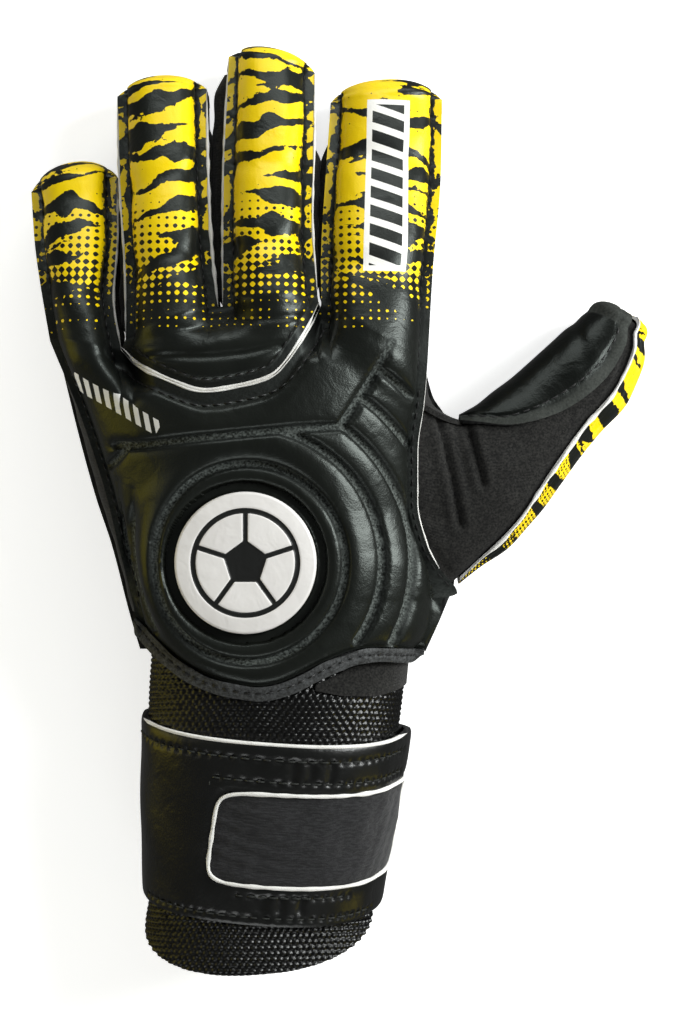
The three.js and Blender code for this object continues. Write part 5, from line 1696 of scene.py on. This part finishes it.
# %% Strap and its window
STRAP_WIDE, MM_PER_DEGREE = 55.0, 0.66
WINDOW = {"from": 0.27, "to": 0.785, "left": 109, "right": -8, "corner": 4.5, "slant": 9}
WINDOW_MIDDLE = (WINDOW["left"] + WINDOW["right"]) / 2, (WINDOW["from"] + WINDOW["to"]) / 2
WINDOW_HALF = (WINDOW["left"] - WINDOW["right"]) / 2, (WINDOW["to"] - WINDOW["from"]) / 2
# Levels are in mm from the strap's upper edge, places in degrees round the wrist
STRAP_STITCHES = table("level start end", """
    4.6 -188 -352
    11.2 -249 -352
    46.2 -262 -316
    52.6 -203 -341""")
PUCKERS = table("place upper lower", """
    -278 3.5 12
    -285 3.5 12
    -294 3.5 12
    -271 45 52.5
    -278 45 52.5
    -287 45 52.5""")


def on_strap(degrees, part, out):
    """A point of the strap out mm from its inner side, lifted where it overlaps itself."""
    overlap = smooth(360 - STRAP["rise"], 360, STRAP["start"] - degrees)
    return strap_point(degrees, part, (STRAP_THICKNESS + GAP) * overlap + STRAP_GAP + out)


def window_distance(degrees, part):
    """Signed distance in mm from the window's edge, below 0 inside it."""
    turned = degrees + 360 - WINDOW["slant"] * (part - WINDOW_MIDDLE[1])
    x = np.abs(turned - WINDOW_MIDDLE[0]) * MM_PER_DEGREE
    y = np.abs(part - WINDOW_MIDDLE[1]) * STRAP_WIDE
    dx = x - (WINDOW_HALF[0] * MM_PER_DEGREE - WINDOW["corner"])
    dy = y - (WINDOW_HALF[1] * STRAP_WIDE - WINDOW["corner"])
    outside = np.hypot(np.maximum(dx, 0), np.maximum(dy, 0))
    return outside + np.minimum(np.maximum(dx, dy), 0) - WINDOW["corner"]


def make_strap():
    # Coarse steps under the wrist, then fine ones over it, past the strap's start
    coarse, fine = np.arange(STRAP["start"], -170, -3.0), np.arange(-170, -398.1, -0.95)
    degrees = np.concatenate([coarse, fine])[None]
    part = np.linspace(0, 1, 79)[::-1, None]
    grids = [on_strap(degrees, part, out) for out in (STRAP_THICKNESS, 0.0)]
    across, along = part * STRAP_WIDE, -degrees * MM_PER_DEGREE
    shown = smooth(-160, -185, degrees)
    window = window_distance(degrees, part)
    relief = 0.3 * ripple(along + 0 * across, 1.5 * across, 30, 17) * (1 - bell(window, 4))
    for level, start, end in zip(*STRAP_STITCHES.values()):
        sewn = smooth(start + 2, start - 2, degrees) * smooth(end - 2, end + 2, degrees)
        relief = relief - 0.8 * bell(across - level, 0.8) * sewn * pull_at(along, 0.45)
    for place, upper, lower in zip(*PUCKERS.values()):
        beside = smooth(upper, upper + 2.5, across) * smooth(lower, lower - 2.5, across)
        relief = relief - 1.0 * bell(degrees - place, 2.2) * beside
    edge = np.minimum(across, STRAP_WIDE - across)
    relief = (relief + 0.5 * rounded(edge / 2.5) - 0.5) * shown
    relief = relief - 0.3 * bell(window - 0.6, 1.2) * shown
    centres = (window[:-1, :-1] + window[1:, 1:]) / 2
    piece, _ = make_wall(
        "wrist_strap", grids, [strap_skin, lining], relief, present=centres > 0,
        cad_node="strap", slot="strap",
    )


def make_loop_patch():
    turned = np.linspace(WINDOW["left"] + 2, WINDOW["right"] - 2, 120)[None] - 360
    part = np.linspace(WINDOW["to"] - 0.008, WINDOW["from"] + 0.008, 40)[:, None]
    grids = [on_strap(turned, part, out) for out in (1.5, 0.0)]
    across, along = part * STRAP_WIDE + 0 * turned, -turned * MM_PER_DEGREE + 0 * part
    relief = 0.35 * ripple(along, across, 16, 27) + 0.25 * ripple(along / 2.5, across, 3, 28)
    window = window_distance(turned, part)
    present = (window[:-1, :-1] + window[1:, 1:]) / 2 < -0.25
    relief = relief + 0.8 * rounded(-window / 4.0)
    piece, _ = make_wall(
        "loop_patch", grids, [loop_fabric], relief, {"row": across, "rib": along}, present,
        cad_node="strap_patch", slot="loop",
    )


make_strap()
make_loop_patch()

# %% [markdown]
# ## The badge
# A moulded disc of soft white plastic, slightly domed, with a black inlay. The inlay is a
# plain football figure: a pentagon, five short seams and a thin ring. Its edge is a signed
# distance carried by the mesh, so it's sharp, and the same distance sinks it a little.

# %% Badge
BADGE = {"radius": 21.0, "low": 58.8, "top": 61.8}


def inlay_distance(x, y):
    """Distance in mm from a pentagon, its five seams and a ring, below 0 inside them."""
    radius, angle = np.hypot(x, y), np.arctan2(y, x)
    fold = 2 * math.pi / 5
    own = (angle - math.pi / 2 + fold / 2) % fold - fold / 2
    along, beside = radius * np.cos(own), radius * np.sin(own)
    opposite = (angle - math.pi / 2) % fold - fold / 2
    pentagon = radius * np.cos(opposite) - 5.6
    seams = np.maximum(np.abs(beside) - 0.75, np.maximum(6.0 - along, along - 14.6))
    ring = np.abs(radius - 15.4) - 0.8
    return np.minimum.reduce([pentagon, seams, ring])


def make_badge_plastic():
    # Moulded TPU: satin, IOR 1.5, with a black inlay of the same plastic
    material, add, place = start_material("badge plastic", "#E0DDD9", 0.38, 1.5)
    inlay = add("Attribute", attribute_name="inlay").outputs["Fac"]
    cloudy = add("TexNoise", {"Vector": place, "Scale": 90.0, "Detail": 3.0})
    white = add("MixRGB", (cloudy, "#D9D5D2", "#F1EEEB"))
    black = add("Math", (inlay, 0.0), operation="LESS_THAN")
    colour = add("MixRGB", (black, white, "#161716"))
    return connect(material, Base_Color=colour, Normal=pressed_grain(add, place, 1.2, 0.015))


def make_badge():
    """Rings from the middle of the face over the rounded rim to the middle of the underside."""
    sides, tiny, flat = 220, 0.3, BADGE["radius"] - 1
    face, turn = np.linspace(tiny, flat, 58), np.linspace(0.2, 1.57, 6)
    radii = np.concatenate([face, flat + np.sin(turn)])
    rise = -0.8 * (radii / flat) ** 4
    rise[len(face):] = -0.8 - 1.1 * (1 - np.cos(turn))
    radii = np.concatenate([radii, [BADGE["radius"], BADGE["radius"] - 0.6, tiny]])
    z = np.concatenate([BADGE["top"] + rise, [BADGE["low"] + 0.6, BADGE["low"], BADGE["low"]]])
    angles = 2 * math.pi * np.arange(sides) / sides
    x, y = radii[:, None] * np.cos(angles), radii[:, None] * np.sin(angles)
    inlay = inlay_distance(x, y)
    on_face = (np.arange(len(radii)) < len(face))[:, None]
    drop = 0.35 * (1 - smooth(-0.35, 0.25, inlay)) * on_face
    ring = np.stack([x + BADGE_CENTRE[0], y + BADGE_CENTRE[1], z[:, None] - drop], -1)
    faces = quads_of(ring.shape[:2], True).reshape(-1, 4)[:, ::-1]
    count = ring[..., 0].size
    points = np.concatenate([ring.reshape(-1, 3), ring[0].mean(0)[None], ring[-1].mean(0)[None]])
    first = np.arange(sides)
    last = count - sides + first
    top = fan(first, np.roll(first, -1), count)
    low = fan(np.roll(last, -1), last, count + 1)
    make_piece(
        "round_badge", points, np.concatenate([faces, top, low]), [make_badge_plastic()],
        marks={"inlay": inlay}, cad_node="emblem_disc", slot="badge",
    )


make_badge()

# %% [markdown]
# ## Raw edges and stitches
# The foam's cut edges show white where the panels meet, so a slim strip of raw foam runs
# along those edges. The thread is lockstitch, about 7 stitches to 25 mm: each stitch
# is a short piece of thread that dives into the foam at both ends.

# %% Raw edges
def edging(path, width, height=1.5, drop=0.55):
    """A strip of raw foam along an edge, sunk a little into it and uneven in width."""
    path = np.array(path, float)
    path[:, 2] -= drop
    wobble = 1 + 0.22 * ripple(path[:, 0], path[:, 1], 7, 33)
    return tube(path, width * wobble, height)


def tapered(count, wide, narrow=0.2, run=10):
    """Widths along a strip that narrows over run points at each end."""
    place = np.minimum(np.arange(count), np.arange(count)[::-1]) / run
    return mix(narrow, wide, np.clip(place, 0, 1))


def make_edges():
    body, knuckle_body = BODY_ROWS - 1, KNUCKLE["rows"] - 1
    last = len(ROLL) - 1
    seam_back = back_skin[body, last:INDEX_START + 1]
    seam_front = knuckle_skin[0]
    right_edge = back_skin[50:body, -1]
    right_edge = right_edge[right_edge[:, 1] < 42]
    # Each path and its width in mm: the little finger, both sides of the ring and the middle
    # finger, both sides of the U seam, the right edge and the thumb
    paths = [(back_skin[body:body + STRAIGHT_CELLS, last], 0.8)]
    for column, width in ((0, 0.9), (last, 1.3), (2 * len(ROLL) - 1, 0.9), (len(ROLL), 0.7)):
        rows = slice(knuckle_body, knuckle_body + STRAIGHT_CELLS)
        paths.append((knuckle_skin[rows, column], width))
    paths += [
        (seam_back, np.linspace(1.0, 0.5, len(seam_back))),
        (seam_front, np.linspace(1.4, 0.7, len(seam_front))),
        (right_edge, np.linspace(0.65, 0.15, len(right_edge))),
        (thumb_back_skin[3:122, -1], 1.15),
    ]
    shapes = [
        edging(path, tapered(len(path), width) * (1 + 0.35 * ripple(path[:, 0], path[:, 1], 9, 90)))
        for path, width in paths
    ]
    make_piece("raw_foam_edges", *joined(shapes), [raw_foam], crease=80)


def make_strap_edges():
    """The strap's raw edges: along its top and round its window."""
    top = on_strap(np.linspace(-196, -352, 180), 0.0, 1.6)
    angle = np.linspace(0, 2 * math.pi, 240)
    up = WINDOW_HALF[1] * signed_power(np.sin(angle), 2 / 7)
    turned = WINDOW_MIDDLE[0] - 360 - WINDOW_HALF[0] * signed_power(np.cos(angle), 2 / 9)
    turned = turned + WINDOW["slant"] * up
    gone = np.hypot(np.diff(turned) * MM_PER_DEGREE, np.diff(up) * STRAP_WIDE)
    gone = np.concatenate([[0], np.cumsum(gone)])
    even = np.linspace(0, gone[-1], 320)
    turned, up = np.interp(even, gone, turned), np.interp(even, gone, up)
    rim = on_strap(turned, WINDOW_MIDDLE[1] + up, 2.3)
    uneven = 1 + 0.25 * ripple(rim[:, 0], rim[:, 1], 6, 51)
    shapes = [tube(top, 1.2 * tapered(len(top), 1.0), 1.6), tube(rim, 1.2 * uneven, 1.3)]
    make_piece("strap_raw_edges", *joined(shapes), [raw_foam], crease=80)


make_edges()
make_strap_edges()


# %% Stitches
def stitches(path, up=(0, 0, 1), wide=0.5):
    """Short threads along a path that lies on the surface, each diving in at both ends."""
    pitch = STITCH["pitch"]
    ups = np.broadcast_to(np.array(up, float), path.shape)
    gone = lengths_along(path)
    shapes = []
    for middle in np.arange(pitch / 2, gone[-1] - pitch / 2, pitch):
        place = middle + pitch * np.linspace(-0.36, 0.36, 5)
        line, rise = at_places(path, gone, place), at_places(ups, gone, place)
        line = line + rise * np.array([-0.35, 0.12, 0.22, 0.12, -0.35])[:, None]
        shapes.append(tube(line, wide, wide, up=tuple(rise[2]), sides=6))
    return shapes


def between_columns(skin, rows, column, share):
    return mix(skin[rows, column], skin[rows, column + 1], share)


def on_skin(skin, line, height=0.1):
    """A plan line laid on a grid of skin points from above."""
    quads = quads_of(skin.shape[:2], False).reshape(-1, 4)
    tree = BVHTree.FromPolygons(skin.reshape(-1, 3).tolist(), quads.tolist())
    found = []
    for x, y in line:
        hit = tree.ray_cast(Vector((x, y, 200)), Vector((0, 0, -1)))[0]
        if hit is not None:
            found.append((x, y, hit.z + height))
    return np.array(found)


def beside(line, distance):
    """A plan line moved sideways, to the left of its direction."""
    ahead = unit(np.gradient(line, axis=0))
    return line + distance * np.stack([-ahead[:, 1], ahead[:, 0]], 1)


def sew(name, rows, material):
    """A piece of thread from rows of stitches, each a path and the direction out of it."""
    shapes = [shape for path, up in rows for shape in stitches(path, up)]
    make_piece(name, *joined(shapes), [material])
    print(name, "has", len(shapes), "stitches")


def back_rows():
    """Both sides of the four fingers, both sides of the U seam, the hand's edges and the hem."""
    rows = []
    for skin, body_rows, start in (
        (back_skin, BODY_ROWS, 0), (back_skin, BODY_ROWS, INDEX_START),
        (knuckle_skin, KNUCKLE["rows"], 0), (knuckle_skin, KNUCKLE["rows"], len(ROLL)),
    ):
        below = 8 if skin is back_skin else 6
        finger = slice(body_rows - below, body_rows + STRAIGHT_CELLS - 1)
        rows.append(between_columns(skin, finger, start + LIP_CELLS - 1, 0.75))
        rows.append(between_columns(skin, finger, start + LIP_CELLS + DOME_CELLS, 0.25))
    seam = U_SEAM[8:-8]
    rows.append(on_skin(back_skin, beside(seam, -4.0)))
    rows.append(on_skin(knuckle_skin, beside(seam, 3.6)))
    rows.append(between_columns(back_skin, slice(37, 165), -4, 0.5))
    rows.append(between_columns(back_skin, slice(8, 167), 3, 0.5))
    rows.append(mix(hem_skin[6], hem_skin[7], 0.5)[2:-2])
    return [(path, (0, 0, 1)) for path in rows]


def strap_rows():
    """The strap's four sewn lines, and a short one across at the end of the second."""
    lines = zip(*STRAP_STITCHES.values())
    rows = [(np.linspace(start, end, 200), level) for level, start, end in lines]
    rows.append((np.full(20, -249.0), np.linspace(11.5, 17.5, 20)))
    for turned, level in rows:
        inner, outer = (
            on_strap(turned, level / STRAP_WIDE, out) for out in (0.0, STRAP_THICKNESS - 0.3)
        )
        yield outer, unit(outer - inner)


sew("back_stitches", back_rows(), thread)
sew("strap_stitches", strap_rows(), painted_glint_thread)
thumb_row = between_columns(thumb_pad_skin, slice(10, 112), 4, 0.5)
sew("thumb_stitches", [(thumb_row, (0.3, -0.3, 0.9))], thread)

# %% [markdown]
# ## Camera, floor and light
# The glove was photographed from straight above. The frame is 674 by 1024, and 2000 of its
# pixels wide at the lens's distance, which on a 36 mm sensor is a 70.3 mm lens at 650 mm.

# %% Camera, floor and lights
def aim(thing, at):
    direction = Vector(at) - thing.location
    thing.rotation_euler = direction.to_track_quat("-Z", "Y").to_euler()


VIEW = {"lens_pixels": 2000, "frame_pixels": 1024, "sensor_mm": 36, "height_m": 0.65}
camera = bpy.data.objects.new("camera", bpy.data.cameras.new("camera"))
camera.data.lens = VIEW["lens_pixels"] / VIEW["frame_pixels"] * VIEW["sensor_mm"]
camera.data.sensor_width = VIEW["sensor_mm"]
camera.location = (SHIFT[0] * MM, SHIFT[1] * MM, VIEW["height_m"])
bpy.context.scene.collection.objects.link(camera)
bpy.context.scene.camera = camera
print("the lens is", round(camera.data.lens, 1), "mm")


def make_floor(half=9):
    # Opal acrylic over a light box: matt white, and glowing enough to wash shadows out
    material, add, place = start_material(
        "light table", "#FBFBFA", 0.9, 1.49, Emission_Color=(1, 1, 1, 1), Emission_Strength=0.64,
    )
    fibre = add("TexNoise", {"Vector": place, "Scale": 900.0, "Detail": 2.0})
    connect(material, Normal=add("Bump", {"Height": fibre, "Distance": 0.02 * MM}))
    mesh = bpy.data.meshes.new("floor")
    corners = [(x * half, y * half, 0) for x, y in ((-1, -1), (1, -1), (1, 1), (-1, 1))]
    mesh.from_pydata(corners, [], [(0, 1, 2, 3)])
    mesh.materials.append(material)
    floor = bpy.data.objects.new("floor", mesh)
    bpy.context.scene.collection.objects.link(floor)
    # Glossy skin would mirror the glow along its sides, so reflections don't see the floor
    floor.visible_glossy = False


def soft_light(name, place, size, power, colour="#FFFFFF", at=(0, 0, 0.03)):
    light = bpy.data.lights.new(name, "AREA")
    light.shape, light.size, light.size_y = "RECTANGLE", size[0], size[1]
    light.energy, light.color = power, linear(colour)[:3]
    lamp = bpy.data.objects.new(name, light)
    lamp.location = place
    bpy.context.scene.collection.objects.link(lamp)
    aim(lamp, at)
    print(f"{name}: {power / (size[0] * size[1]):.1f} W for each square metre of it")


make_floor()
soft_light("key softbox", (0.80, 0.30, 0.50), (0.35, 0.7), 13.5, "#FCFFFE")
soft_light("left softbox", (-0.90, 0.15, 0.45), (0.4, 0.9), 0.4)
soft_light("far softbox", (0.1, 0.95, 0.45), (0.9, 0.4), 4.6, "#FCFFFE")
soft_light("near softbox", (-0.1, -0.95, 0.45), (0.9, 0.4), 3.2, "#FCFFFE")
YELLOW = "#D8C400"
soft_light("low warm light, left", (-0.6, 0.0, 0.08), (0.3, 0.5), 0.75, YELLOW, (0, 0, 0.02))
soft_light("low warm light, right", (0.6, -0.45, 0.06), (0.1, 0.4), 0.3, YELLOW, (0, -0.03, 0.02))
world = bpy.data.worlds.new("studio")
world.use_nodes = True
background = world.node_tree.nodes["Background"]
background.inputs["Color"].default_value = linear("#FFFFFF")
background.inputs["Strength"].default_value = 0.10
bpy.context.scene.world = world
bpy.context.scene.view_settings.view_transform = "Standard"
